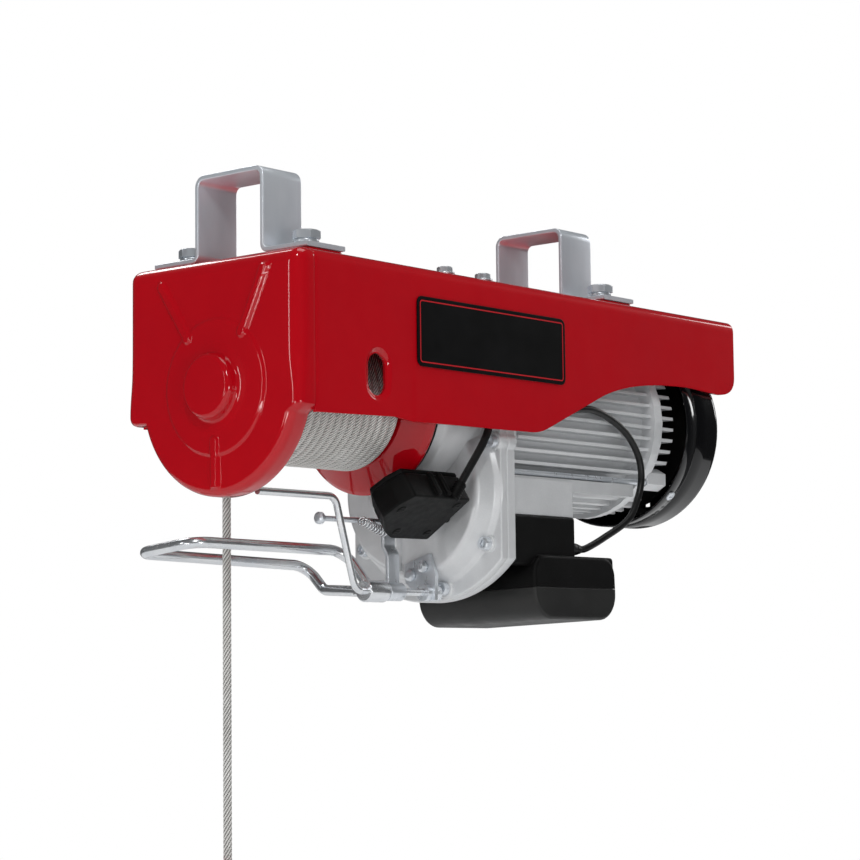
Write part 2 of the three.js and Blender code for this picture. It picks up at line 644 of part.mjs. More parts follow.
// ---------- motor end bell with cooling fins and cover lugs ----------
const endBellStation = motorRingStation + 7 + gap;
function endBell() {
  const end = endBellStation + endBellLength;
  let body = coolingPlates(endBellStation + 3, end - 5, motorFinRadius);
  body = join(body, disc(motorRingRadius - 1, at(endBellStation), at(endBellStation + 4), axisOffset, axisZ, 28),
    turned([[at(endBellStation), 0], [at(endBellStation), 55], [at(end - 6), 54], [at(end), 40], [at(end), 0]],
      axisOffset, axisZ, 28));
  for (const [y, z] of tieRodPlaces) {
    body = join(body, disc(8.6, at(endBellStation), at(end - 4), axisOffset + (y - axisOffset) * 0.93,
      axisZ + (z - axisZ) * 0.93, 6));
    body = cut(body, disc(tieRodRadius + gap, at(endBellStation - 1), at(endBellStation + 6), y, z, 14));
  }
  return cut(body, disc(motorBoreRadius - 2, at(endBellStation - 1), at(end - 12), axisOffset, axisZ, 28),
    disc(rotorShaftRadius + runningGap, at(end - 13), at(end + 1), axisOffset, axisZ, 24));
}
add('motor_end_bell', endBell(), castAluminium);

tieRodPlaces.forEach(([y, z], index) => {
  add(`motor_tie_rod_${index + 1}`,
    disc(tieRodRadius, at(motorStation + gap), at(endBellStation + 5), y, z, 12), zinc);
});

// ---------- stator, rotor, brake and fan ----------
add('stator', ring(motorBoreRadius - gap, rotorRadius + 0.6, at(motorStation + 35), at(motorRingStation - 20),
  axisOffset, axisZ, 28), copper);
const rotorEnd = endBellStation + endBellLength;
const brakeStation = rotorEnd + 2;
const fanStation = rotorEnd + 18;
add('rotor_shaft', join(
  disc(rotorShaftRadius, at(coverStation + 0.5), at(fanStation + 16), axisOffset, axisZ, 24),
  disc(5, at(coverStation - 2), at(coverStation + 2), axisOffset, axisZ, 16),
  gearSolid(motorPinionTeeth, firstSize, at(firstGearStation - 1), at(coverStation - gap), axisOffset, axisZ, 0)), steel);
add('rotor_core', ring(rotorRadius, rotorShaftRadius + gap, at(motorStation + 40), at(motorRingStation - 25),
  axisOffset, axisZ, 28), steel);
add('brake_magnet', ring(36, rotorShaftRadius + 3, at(rotorEnd + gap), at(brakeStation + 6), axisOffset, axisZ, 28),
  copper);

function coolingFan() {
  let body = ring(18, rotorShaftRadius + gap, at(fanStation), at(fanStation + 14), axisOffset, axisZ, 28);
  body = join(body, ring(fanRadius, 17, at(fanStation), at(fanStation + 2.5), axisOffset, axisZ, 28));
  for (let blade = 0; blade < 8; blade += 1) {
    const geometry = new THREE.BoxGeometry(13, fanRadius - 18, 2.4);
    geometry.translate(at(fanStation + 7), (fanRadius + 16) / 2, 0);
    geometry.rotateX((2 * Math.PI * blade) / 8);
    geometry.translate(0, axisOffset, axisZ);
    body = join(body, solid(geometry));
  }
  return body;
}
add('cooling_fan', coolingFan(), blackPlastic);

// ---------- fan cover ----------
const coverScrewPlaces = [225, 315].map((angle) => THREE.MathUtils.degToRad(angle));
function fanCover() {
  const open = fanCoverStation;
  const taper = open + fanCoverLength - 11;
  const end = open + fanCoverLength;
  const wall = fanCoverSheet;
  let body = turned([[at(open), fanCoverRadius - wall], [at(open), fanCoverRadius], [at(taper), fanCoverRadius],
    [at(end), fanCoverRadius - 7], [at(end), 12], [at(end - wall), 12], [at(end - wall), fanCoverRadius - 8],
    [at(taper), fanCoverRadius - wall]], axisOffset, axisZ, 36);
  for (let slot = 0; slot < 12; slot += 1) {
    const geometry = new THREE.BoxGeometry(10, 40, 4.5);
    geometry.translate(at(end), 40, 0);
    geometry.rotateX((2 * Math.PI * slot) / 12);
    geometry.translate(0, axisOffset, axisZ);
    body = cut(body, solid(geometry));
  }
  for (const turn of coverScrewPlaces) {
    body = cut(body, radialPin(turn, fanCoverRadius - 6, fanCoverRadius + 6, 2.3, open + 6));
  }
  return body;
}

// A round pin pointing away from the motor's axis.
function radialPin(turn, from, to, radius, station) {
  const geometry = new THREE.CylinderGeometry(radius, radius, to - from, 14);
  geometry.translate(0, (from + to) / 2, 0);
  geometry.rotateX(turn);
  geometry.translate(at(station), axisOffset, axisZ);
  return solid(geometry);
}
add('fan_cover', fanCover(), glossBlack);
coverScrewPlaces.forEach((turn, index) => {
  const station = fanCoverStation + 6;
  add(`fan_cover_screw_${index + 1}`, join(
    radialPin(turn, fanCoverRadius - 4, fanCoverRadius + 1, 2, station),
    radialPin(turn, fanCoverRadius + gap, fanCoverRadius + 2, 4, station)), zinc);
});

// ---------- capacitor box: two shells with a neck up to the motor foot ----------
const boxFront = axisOffset - 67;
function boxOutline(inset, upper) {
  const half = boxWidth / 2 - inset;
  const tall = boxHeight / 2 - inset;
  const corner = (upper ? 14 : 20) - inset;
  const x = at(boxStation);
  const z = -boxDepth;
  const shape = new THREE.Shape();
  const sign = upper ? 1 : -1;
  const edge = upper ? z + gap / 2 - (inset > 0 ? 3 : 0) : z - gap / 2 + (inset > 0 ? 3 : 0);
  shape.moveTo(x - half, edge);
  shape.lineTo(x - half, z + sign * (tall - corner));
  shape.absarc(x - half + corner, z + sign * (tall - corner), corner, Math.PI, Math.PI - sign * Math.PI / 2, upper);
  shape.lineTo(x + half - corner, z + sign * tall);
  shape.absarc(x + half - corner, z + sign * (tall - corner), corner, sign * Math.PI / 2, 0, upper);
  shape.lineTo(x + half, edge);
  return shape;
}

function tilted(body) {
  const geometry = geometryOf(body);
  geometry.translate(0, -boxFront, boxDepth);
  geometry.rotateX(-THREE.MathUtils.degToRad(boxTilt));
  geometry.translate(0, boxFront, -boxDepth);
  return solid(geometry);
}

const neckTop = axisZ - 76 - gap;
function boxUpper() {
  const outside = extruded(boxOutline(0, true), 'y', boxFront, boxFront + boxLength, 8);
  const inside = extruded(boxOutline(boxWall, true), 'y', boxFront + boxWall, boxFront + boxLength - boxWall, 8);
  const ledge = block([at(boxStation - 42), at(boxStation + 47)], [boxFront, boxFront + 26],
    [-boxDepth + boxHeight / 2 - 7, -boxDepth + boxHeight / 2]);
  const shell = tilted(cut(join(outside, ledge), inside));
  const neck = block([at(motorStation + 2), at(motorStation + 78)], [boxFront + 5, boxFront + 100],
    [-boxDepth + boxHeight / 2 - 6, neckTop]);
  const passage = block([at(motorStation + 30), at(motorStation + 50)], [boxFront + 40, boxFront + 60],
    [-boxDepth, neckTop - 4]);
  return cut(join(shell, neck), tilted(inside), passage);
}
add('capacitor_box_upper', boxUpper(), blackPlastic);

function boxLower() {
  const outside = extruded(boxOutline(0, false), 'y', boxFront, boxFront + boxLength, 8);
  const inside = extruded(boxOutline(boxWall, false), 'y', boxFront + boxWall, boxFront + boxLength - boxWall, 8);
  return tilted(cut(outside, inside));
}
add('capacitor_box_lower', boxLower(), blackPlastic);

function capacitor() {
  const geometry = new THREE.CylinderGeometry(capacitorRadius, capacitorRadius, boxLength - 14, 28);
  geometry.translate(at(boxStation) - 8, boxFront + boxLength / 2, -boxDepth);
  return tilted(solid(geometry));
}
add('capacitor', capacitor(), brassYellow);

// ---------- motor lead: from the capacitor box round to the motor's terminal block ----------
const leadY = -wallInside + motorLeadRadius + 0.9;
const bootEnd = motorStation + 78 + gap + 12;
add('motor_lead_boot', turned([[at(motorStation + 78 + gap), 0], [at(motorStation + 78 + gap), 5],
  [at(bootEnd - 8), 4.6], [at(bootEnd), motorLeadRadius + 0.6], [at(bootEnd), 0]], boxFront + 11, -184.8, 20), blackRubber);
const terminalEnd = motorStation + 33;
const motorLeadPoints = [
  [at(bootEnd + 0.8), boxFront + 11, -184.8], [at(bootEnd + 8), boxFront + 10.5, -183.6],
  [at(bootEnd + 24), boxFront + 7, -176], [at(363), -73, -162], [at(375), -73.6, -146], [at(380), leadY, -130],
  [at(377), leadY, -114], [at(364), leadY, -99], [at(345), leadY, -89], [at(322), leadY, -83],
  [at(303), leadY, -83.5], [at(288), leadY, -87], [at(terminalEnd + 10), leadY, -89.6],
  [at(terminalEnd + gap), leadY, -90]];
add('motor_lead', cable(motorLeadPoints, motorLeadRadius, 4, 38), blackRubber);
add('motor_terminal_block', block([at(motorStation + 7), at(terminalEnd)], [-wallInside + 0.6, axisOffset - 66.6],
  [-97, -83]), blackPlastic);

// ---------- limit switch box, its plunger and its lead ----------
const switchTilt = THREE.MathUtils.degToRad(57);
const switchStation = 180;
const switchLength = 48;
const switchThickness = 24;
const plungerStation = 155;
const plungerReach = 6;
const plungerRadius = 2.6;
function switchFrame(geometry) {
  geometry.rotateX(switchTilt);
  geometry.translate(0, -73, -155.3);
  return solid(geometry);
}

function switchPin(radius, station, across, from, to) {
  const geometry = new THREE.CylinderGeometry(radius, radius, to - from, 14);
  geometry.rotateX(Math.PI / 2);
  geometry.translate(at(station), across, (from + to) / 2);
  return switchFrame(geometry);
}

const glandRoot = [at(163), -70.5, -155];
const glandEnd = [at(170.5), -71.5, -144.5];
function switchBox() {
  const right = at(switchStation);
  const outline = polygon([[right, 0], [right, -switchLength], [right - 38, -switchLength - 0.6],
    [right - 48, -switchLength + 4.5], [right - 68.5, -25], [right - 66, -11], [right - 59, 0]]);
  const shell = new THREE.ExtrudeGeometry(outline, { depth: switchThickness, bevelEnabled: false });
  shell.rotateX(Math.PI / 2);
  shell.translate(0, switchThickness, 0);
  let body = switchFrame(shell);
  for (const x of [right - 33, right - 23]) {
    const bar = new THREE.BoxGeometry(4, 18, 4);
    bar.translate(x, 11, 0.5);
    body = join(body, switchFrame(bar));
  }
  body = join(body, alongCurve(new THREE.LineCurve3(new THREE.Vector3(...glandRoot), new THREE.Vector3(...glandEnd)),
    4.4, 7, 1));
  for (const [y, z] of [[-50, -156], [-38, -165]]) {
    body = join(body, disc(4, right - 4, at(panStation - gap), y, z, 14));
  }
  return cut(body, switchPin(plungerRadius + runningGap, plungerStation, 12, -switchLength - 2, -switchLength + 9));
}
add('limit_switch_box', switchBox(), blackPlastic);
add('switch_plunger', switchPin(plungerRadius, plungerStation, 12, -switchLength - plungerReach, -switchLength + 2),
  steel);

// ---------- lead from the limit switch box into the gear case ----------
const switchLeadPoints = [[at(170.8), -71.5, -144.1], [at(175), -72.1, -138.3], [at(184), -73.1, -126.5],
  [at(193), -73.6, -115], [at(199.5), -73.4, -104.5], [at(203), -72.2, -96], [at(203.8), -69.6, -88.5],
  [at(203.5), -66.4, -83.2]];
add('switch_lead', cable(switchLeadPoints, switchLeadRadius, 4, 22), blackRubber);

// ---------- lever shaft bracket on the gear case ----------
const bracketFace = panStation - gap;
function shaftBracket() {
  const plate = polygon([[-24, -190], [-1, -197], [-2, -210], [-15, -223], [-29, -223], [-30, -205]]);
  let body = join(extruded(plate, 'x', at(bracketFace - 3), at(bracketFace)),
    disc(6, at(bracketFace - 8), at(bracketFace + 7), shaftOffset, -shaftDepth, 18));
  body = cut(body, disc(feelerRadius + runningGap, at(150), at(220), shaftOffset, -shaftDepth, 12));
  for (const [y, z] of bracketScrewPlaces) {
    body = cut(body, disc(2.4, at(bracketFace - 4), at(bracketFace + 1), y, z, 14));
  }
  return body;
}
const bracketScrewPlaces = [[-7.2, -204.8], [-18.8, -198.9]];
add('lever_bracket', shaftBracket(), zinc);
bracketScrewPlaces.forEach(([y, z], index) => {
  const seat = bracketFace - 3 - gap;
  const head = turned([[at(seat - 3.4), 0], [at(seat - 3.4), 2.4], [at(seat - 2.2), 4.2], [at(seat), 4.4],
    [at(seat), 0]], y, z, 12);
  add(`lever_bracket_screw_${index + 1}`, join(head, disc(2, at(seat - 1), at(bracketFace - 0.1), y, z, 12)), zinc);
});

// ---------- feeler rod: runs under the drum and carries the levers on its lower leg ----------
const feelerPath = [[at(203.5), shaftOffset, -shaftDepth], [at(116.5), shaftOffset, -shaftDepth],
  [at(96.6), shaftOffset, -154], [at(21.5), shaftOffset, -154]];
add('feeler_rod', bentBar(feelerPath, 8, feelerRadius, 5, 26), zinc);

// ---------- loop lever: the hanging rope passes through it ----------
const loopTipX = at(1);
function loopLever() {
  const loop = bentBar([[at(131), shaftOffset + 8, -shaftDepth], [at(163), 50, -214], [at(166), 70, -196],
    [loopTipX, 70, -192], [loopTipX, 15, -186.5], [at(146), 15, -188], [at(141), shaftOffset + 8, -shaftDepth + 2]],
  13, loopRadius, 4, 36);
  const hub = disc(hubRadius + 1, at(125), at(145), shaftOffset, -shaftDepth, 18);
  const bore = disc(feelerRadius + gap, at(110), at(160), shaftOffset, -shaftDepth, 12);
  const arm = block([at(126), at(144)], [shaftOffset, shaftOffset + 12], [-shaftDepth - 3, -shaftDepth + 3]);
  return cut(join(loop, hub, arm), bore);
}
add('loop_lever', loopLever(), zinc);

// ---------- switch lever: a bent flat bar on a clamped sleeve ----------
function switchLever() {
  const sleeve = disc(hubRadius, at(147), at(163), shaftOffset, -shaftDepth, 18);
  const bore = disc(feelerRadius + gap, at(140), at(170), shaftOffset, -shaftDepth, 12);
  const flat = polygon([[-20.5, -213], [-20.5, -192], [-16.6, -187], [-16.6, -174], [-19.6, -174], [-19.6, -186],
    [-23.5, -191], [-23.5, -213]]);
  const screw = upright([[-222, 0], [-222, 3], [-219, 3], [-219, 0]], at(160), shaftOffset - 3, 12);
  return cut(join(sleeve, extruded(flat, 'x', at(149), at(161)), screw), bore);
}
add('switch_lever', switchLever(), zinc);

// ---------- return spring and the screw that anchors it ----------
const springLine = [-17.2, -169];
add('spring_anchor_screw', join(
  disc(1.9, at(86), at(panStation - gap), ...springLine, 12),
  turned([[at(84), 0], [at(84), 2.4], [at(85.3), 4.2], [at(88), 4.2], [at(88), 0]], ...springLine, 16)), zinc);

// A wire coil about the line from one point to another.
class Coil extends THREE.Curve {
  constructor(from, to, radius, turns) {
    super();
    this.from = new THREE.Vector3(...from);
    this.along = new THREE.Vector3(...to).sub(this.from);
    this.across = new THREE.Vector3(0, 1, 0).cross(this.along).normalize().multiplyScalar(radius);
    this.over = this.along.clone().normalize().cross(this.across);
    this.turns = turns;
  }

  getPoint(t, target = new THREE.Vector3()) {
    const angle = 2 * Math.PI * this.turns * t;
    return target.copy(this.from).addScaledVector(this.along, t)
      .addScaledVector(this.across, Math.cos(angle)).addScaledVector(this.over, Math.sin(angle));
  }
}
add('lever_spring', alongCurve(new Coil([at(120), -24.4, -169.5], [at(144), -24.4, -177], 2.8, 6), 0.6, 2, 72), zinc);

// ---------- hanging rope, stop weight, hook and latch ----------
const weightHeight = 34;
const weightRadius = 15;
const hookTop = -ropeBottom - weightHeight - gap;
const ropeX = at(ropeStation);
add('hanging_rope', upright([[-ropeBottom - 14, 0], [-ropeBottom - 14, ropeRadius], [axisZ, ropeRadius], [axisZ, 0]],
  ropeX, ropeY, 12), ropeSteel);
add('stop_weight', cut(upright([[hookTop + gap, 0], [hookTop + gap, weightRadius - 3],
  [hookTop + gap + 3, weightRadius], [-ropeBottom - 8, weightRadius], [-ropeBottom, weightRadius - 7],
  [-ropeBottom, 0]], ropeX, ropeY, 20),
upright([[-ropeBottom - 14.5, 0], [-ropeBottom - 14.5, ropeRadius + gap], [1, ropeRadius + gap], [1, 0]],
  ropeX, ropeY, 16), upright([[hookTop, 0], [hookTop, 4 + gap], [hookTop + 12, 4 + gap], [hookTop + 12, 0]],
  ropeX, ropeY, 16)), redPaint);

const hookCentre = hookTop - 52;
const hookWire = 5.6;
const latchPivot = [ropeX + 5, hookCentre + 20];

// A round pin along Y through the hook's latch pivot.
function pivotPin(radius, length) {
  const geometry = new THREE.CylinderGeometry(radius, radius, length, 12);
  geometry.translate(latchPivot[0], ropeY, latchPivot[1]);
  return solid(geometry);
}

function hookBody() {
  const top = new THREE.Vector3(ropeX, ropeY, hookTop - 8);
  const bow = [[0, 30], [-10, 21], [-19, 8], [-21, -6], [-14, -20], [0, -26], [14, -21], [21, -8], [22, 6]]
    .map(([x, z]) => new THREE.Vector3(ropeX + x, ropeY, hookCentre + z));
  const line = new THREE.CurvePath();
  line.add(new THREE.LineCurve3(top, bow[0]));
  line.add(new THREE.CatmullRomCurve3(bow, false, 'centripetal'));
  const shank = upright([[hookTop - 12, 0], [hookTop - 12, 8], [hookTop - 1, 8], [hookTop - 1, 4],
    [hookTop + 10, 4], [hookTop + 10, 0]], ropeX, ropeY, 20);
  const ear = block([ropeX - 6, latchPivot[0] + 4], [ropeY - 2, ropeY + 2],
    [latchPivot[1] - 4, latchPivot[1] + 14]);
  return cut(join(shank, alongCurve(line, hookWire, 5, 30), ear), pivotPin(1.3 + runningGap, 12));
}
add('hook', hookBody(), zinc);

// The latch reaches from its pivot to the inner side of the hook's tip.
function hookLatch() {
  const [px, pz] = latchPivot;
  const outline = polygon([[px - 3.6, pz + 1], [px - 1, pz + 4.4], [px + 4, pz + 3], [px + 10.6, pz - 14],
    [px + 7.4, pz - 15.6], [px - 2, pz - 4]]);
  const cheeks = [[ropeY - 3.7, ropeY - 2.3], [ropeY + 2.3, ropeY + 3.7]]
    .map(([from, to]) => extruded(outline, 'y', from, to));
  const web = polygon([[px + 4.6, pz - 6], [px + 7, pz - 4.8], [px + 10.6, pz - 14], [px + 7.4, pz - 15.6]]);
  return join(...cheeks, extruded(web, 'y', ropeY - 3, ropeY + 3), pivotPin(1.3, 9));
}
add('hook_latch', hookLatch(), zinc);

export default hoist;
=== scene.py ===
import math

import bmesh
import bpy
import numpy as np
from mathutils import Matrix, Vector


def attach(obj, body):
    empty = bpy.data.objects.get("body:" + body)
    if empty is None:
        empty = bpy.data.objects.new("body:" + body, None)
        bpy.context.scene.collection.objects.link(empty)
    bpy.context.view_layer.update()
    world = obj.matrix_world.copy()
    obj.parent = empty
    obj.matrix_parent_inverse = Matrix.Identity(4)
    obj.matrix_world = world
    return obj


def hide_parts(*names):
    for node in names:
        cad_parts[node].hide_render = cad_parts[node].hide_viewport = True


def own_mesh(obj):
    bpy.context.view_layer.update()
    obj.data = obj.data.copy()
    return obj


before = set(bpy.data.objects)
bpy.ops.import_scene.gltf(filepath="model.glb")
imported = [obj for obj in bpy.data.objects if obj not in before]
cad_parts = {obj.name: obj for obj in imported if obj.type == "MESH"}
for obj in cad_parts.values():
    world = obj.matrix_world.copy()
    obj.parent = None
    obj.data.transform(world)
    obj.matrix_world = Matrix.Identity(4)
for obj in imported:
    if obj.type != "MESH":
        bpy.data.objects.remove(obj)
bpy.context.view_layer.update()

# Wire-rope hoist under a square beam. Shapes are worked out in millimetres:
# X from the drum end of the frame, Y away from the name-plate side, Z up.
# The row frame is in metres and has its X origin midway between the two clamps.
hoist = {"midX": 198.0, "axisY": -5.0, "axisZ": -86.0, "caseZ": -146.0}
drumAxis = (hoist["axisY"], hoist["axisZ"])
millimetre = 0.001


def toRow(points):
    return (np.asarray(points, float) - (hoist["midX"], 0, 0)) * millimetre


cameraLook = {
    "position": (-1.3483, -1.1645, -0.2771),
    "yaw": 0.8674,
    "pitch": 0.0987,
    "roll": -0.0111,
    "lens": 104.75,
}


def placeCamera(look):
    # forward = (sin yaw cos pitch, cos yaw cos pitch, sin pitch); the image then rolls about it
    yaw, pitch, roll = look["yaw"], look["pitch"], look["roll"]
    forward = Vector((math.sin(yaw) * math.cos(pitch), math.cos(yaw) * math.cos(pitch), math.sin(pitch)))
    right = forward.cross(Vector((0, 0, 1))).normalized()
    up = right.cross(forward)
    turnedRight = right * math.cos(roll) + up * math.sin(roll)
    turnedUp = up * math.cos(roll) - right * math.sin(roll)
    data = bpy.data.cameras.new("viewCamera")
    data.lens = look["lens"]
    data.sensor_width = 36
    data.clip_start = 0.05
    data.clip_end = 60
    camera = bpy.data.objects.new("viewCamera", data)
    bpy.context.scene.collection.objects.link(camera)
    turn = Matrix((turnedRight, turnedUp, -forward)).transposed().to_4x4()
    camera.matrix_world = Matrix.Translation(look["position"]) @ turn
    bpy.context.scene.camera = camera


placeCamera(cameraLook)
print("camera placed")


def addNode(tree, kind, **values):
    node = tree.nodes.new(kind)
    for key, value in values.items():
        setattr(node, key, value)
    return node


def newFinish(name):
    material = bpy.data.materials.new(name)
    material.use_nodes = True
    tree = material.node_tree
    shader = tree.nodes["Principled BSDF"]
    return material, tree, shader


def noiseOf(tree, place, scale, detail=4.0, rough=0.55, stretch=(1, 1, 1)):
    mapping = addNode(tree, "ShaderNodeMapping")
    mapping.inputs["Scale"].default_value = stretch
    tree.links.new(place, mapping.inputs["Vector"])
    noise = addNode(tree, "ShaderNodeTexNoise")
    noise.inputs["Scale"].default_value = scale
    noise.inputs["Detail"].default_value = detail
    noise.inputs["Roughness"].default_value = rough
    tree.links.new(mapping.outputs["Vector"], noise.inputs["Vector"])
    return noise.outputs["Fac"]


def rangeOf(tree, value, low, high, fromLow=0.3, fromHigh=0.7):
    node = addNode(tree, "ShaderNodeMapRange")
    node.inputs["From Min"].default_value = fromLow
    node.inputs["From Max"].default_value = fromHigh
    node.inputs["To Min"].default_value = low
    node.inputs["To Max"].default_value = high
    tree.links.new(value, node.inputs["Value"])
    return node.outputs["Result"]


def mixOf(tree, share, first, second):
    node = addNode(tree, "ShaderNodeMix", data_type="RGBA")
    tree.links.new(share, node.inputs["Factor"])
    for socket, colour in ((node.inputs[6], first), (node.inputs[7], second)):
        if isinstance(colour, tuple):
            socket.default_value = (*colour, 1)
        else:
            tree.links.new(colour, socket)
    return node.outputs[2]


def bumpOf(tree, shader, heights, edge=0.0):
    # heights is a list of (value, distance in metres); edge is the radius that softens a CAD edge
    normal = None
    if edge > 0:
        bevel = addNode(tree, "ShaderNodeBevel", samples=4)
        bevel.inputs["Radius"].default_value = edge
        normal = bevel.outputs["Normal"]
    for value, distance in heights:
        bump = addNode(tree, "ShaderNodeBump")
        bump.inputs["Strength"].default_value = 1.0
        bump.inputs["Distance"].default_value = distance
        tree.links.new(value, bump.inputs["Height"])
        if normal is not None:
            tree.links.new(normal, bump.inputs["Normal"])
        normal = bump.outputs["Normal"]
    if normal is not None:
        tree.links.new(normal, shader.inputs["Normal"])


usualFinish = {"cloud": 18, "stretch": (1, 1, 1), "grain": 700, "grainStretch": (1, 1, 1), "fleckShare": 0.5,
               "relief": 0.00002, "metal": 0.0, "coat": 0.0, "coatRough": 0.05, "specular": 0.5, "edge": 0.0}


def makeFinish(name, own):
    # cloudy colour between two tones, flecks where a finish has them, fine grain in roughness and relief
    spec = {**usualFinish, **own}
    material, tree, shader = newFinish(name)
    place = addNode(tree, "ShaderNodeTexCoord").outputs["Object"]
    cloud = noiseOf(tree, place, spec["cloud"], 5, 0.6, spec["stretch"])
    grain = noiseOf(tree, place, spec["grain"], 3, 0.6, spec["grainStretch"])
    colour = mixOf(tree, rangeOf(tree, cloud, 0, 1), spec["colour"], spec["second"])
    if "fleck" in spec:
        share = rangeOf(tree, grain, 0, spec["fleckShare"], 0.5, 0.72)
        colour = mixOf(tree, share, colour, spec["fleck"])
    tree.links.new(colour, shader.inputs["Base Color"])
    blotch = noiseOf(tree, place, spec["cloud"] * 6, 4, 0.6, spec["stretch"])
    tree.links.new(rangeOf(tree, blotch, *spec["rough"]), shader.inputs["Roughness"])
    for socket, key in (("Metallic", "metal"), ("Coat Weight", "coat"), ("Coat Roughness", "coatRough"),
                        ("Specular IOR Level", "specular")):
        shader.inputs[socket].default_value = spec[key]
    heights = [(grain, spec["relief"])]
    if "wave" in spec:
        heights.append((cloud, spec["wave"]))
    bumpOf(tree, shader, heights, spec["edge"])
    return material


finishes = {
    "redPaint": {"colour": (0.47, 0.0003, 0.007), "second": (0.52, 0.001, 0.007), "cloud": 9,
                 "grain": 420, "relief": 0.000012, "wave": 0.00025, "rough": (0.30, 0.40),
                 "coat": 1.0, "coatRough": 0.025, "specular": 0.04},
    "zinc": {"colour": (0.70, 0.74, 0.79), "second": (0.88, 0.91, 0.94), "cloud": 40,
             "stretch": (1, 1, 0.12), "grain": 900, "grainStretch": (1, 1, 0.08), "relief": 0.000012,
             "rough": (0.24, 0.42), "metal": 0.75, "edge": 0.0005},
    "zincStrap": {"colour": (0.74, 0.79, 0.85), "second": (0.88, 0.92, 0.97), "cloud": 26,
                  "stretch": (1, 1, 0.3), "grain": 900, "grainStretch": (1, 1, 0.3), "relief": 0.000001,
                  "rough": (0.28, 0.34), "metal": 0.55},
    "zincRod": {"colour": (0.72, 0.75, 0.79), "second": (0.92, 0.93, 0.94), "cloud": 60,
                "stretch": (0.3, 1, 1), "grain": 1600, "relief": 0.000006, "rough": (0.16, 0.28), "metal": 0.85},
    "castAluminium": {"colour": (0.66, 0.67, 0.68), "second": (0.78, 0.79, 0.80), "cloud": 22,
                      "grain": 1500, "relief": 0.00003, "rough": (0.34, 0.46), "metal": 0.3,
                      "fleck": (0.85, 0.86, 0.87), "fleckShare": 0.35, "edge": 0.0008},
    "steel": {"colour": (0.42, 0.42, 0.43), "second": (0.56, 0.56, 0.56), "cloud": 30, "grain": 1100,
              "grainStretch": (0.06, 1, 1), "relief": 0.000015, "rough": (0.24, 0.40), "metal": 1.0,
              "edge": 0.0004},
    "blackPlastic": {"colour": (0.002, 0.002, 0.002), "second": (0.005, 0.005, 0.005), "cloud": 30,
                     "grain": 1300, "relief": 0.00006, "rough": (0.40, 0.55), "specular": 0.12,
                     "fleck": (0.008, 0.008, 0.008), "fleckShare": 0.3, "edge": 0.0008},
    # lower shell of the capacitor box: lighter than the upper shell, partly the plastic's own dark grey and partly
    # painted sheen
    "greyBlackPlasticPaintedSheen": {"colour": (0.014, 0.014, 0.014), "second": (0.026, 0.026, 0.025), "cloud": 14,
                         "grain": 1500, "relief": 0.00005, "rough": (0.34, 0.46), "specular": 0.3,
                         "fleck": (0.03, 0.03, 0.029), "fleckShare": 0.4, "edge": 0.0008},
    "glossBlack": {"colour": (0.0015, 0.0015, 0.002), "second": (0.003, 0.003, 0.004), "cloud": 12,
                   "grain": 500, "relief": 0.000006, "rough": (0.10, 0.16), "coat": 0.5,
                   "coatRough": 0.04, "specular": 0.3, "edge": 0.0006},
    "blackRubber": {"colour": (0.006, 0.006, 0.006), "second": (0.014, 0.014, 0.014), "cloud": 60,
                    "grain": 1500, "relief": 0.00002, "rough": (0.26, 0.38), "specular": 0.35},
    "copper": {"colour": (0.55, 0.23, 0.09), "second": (0.72, 0.33, 0.15), "cloud": 60, "grain": 900,
               "grainStretch": (0.08, 1, 1), "relief": 0.00004, "rough": (0.26, 0.40), "metal": 1.0},
    "coreSteel": {"colour": (0.20, 0.20, 0.205), "second": (0.30, 0.30, 0.30), "cloud": 40,
                  "grain": 900, "grainStretch": (1, 0.05, 0.05), "relief": 0.00006, "rough": (0.35, 0.5),
                  "metal": 1.0},
    "capacitorCan": {"colour": (0.50, 0.51, 0.52), "second": (0.62, 0.63, 0.64), "cloud": 18,
                     "grain": 1000, "grainStretch": (0.05, 1, 1), "relief": 0.00002,
                     "rough": (0.28, 0.42), "metal": 0.9, "edge": 0.0006},
    "plateBlack": {"colour": (0.003, 0.003, 0.003), "second": (0.006, 0.006, 0.0065), "cloud": 14,
                   "grain": 1200, "relief": 0.000006, "rough": (0.34, 0.44), "specular": 0.1},
    "plateRed": {"colour": (0.50, 0.003, 0.01), "second": (0.56, 0.004, 0.012), "cloud": 30,
                 "grain": 1200, "relief": 0.000006, "rough": (0.30, 0.40)},
}
looks = {name: makeFinish(name, spec) for name, spec in finishes.items()}


def sineOf(tree, value, period, low, high):
    # low + (high - low) (0.5 + 0.5 cos(2 pi value / period))
    turns = addNode(tree, "ShaderNodeMath", operation="MULTIPLY")
    turns.inputs[1].default_value = 2 * math.pi / period
    tree.links.new(value, turns.inputs[0])
    wave = addNode(tree, "ShaderNodeMath", operation="COSINE")
    tree.links.new(turns.outputs[0], wave.inputs[0])
    return rangeOf(tree, wave.outputs[0], low, high, -1.0, 1.0)


ropeFinish = {
    "wirePitch": 0.95, "wireSlant": 1.4, "wireHeight": 0.00005, "grooveHeight": 0.00025, "metal": 0.3,
    # gap is painted shade between the fine wires; groove is painted shade in the valley between two strands
    "tones": ((0.80, 0.785, 0.75), (0.96, 0.95, 0.92)), "gap": (0.56, 0.55, 0.53), "groove": (0.13, 0.127, 0.12),
}


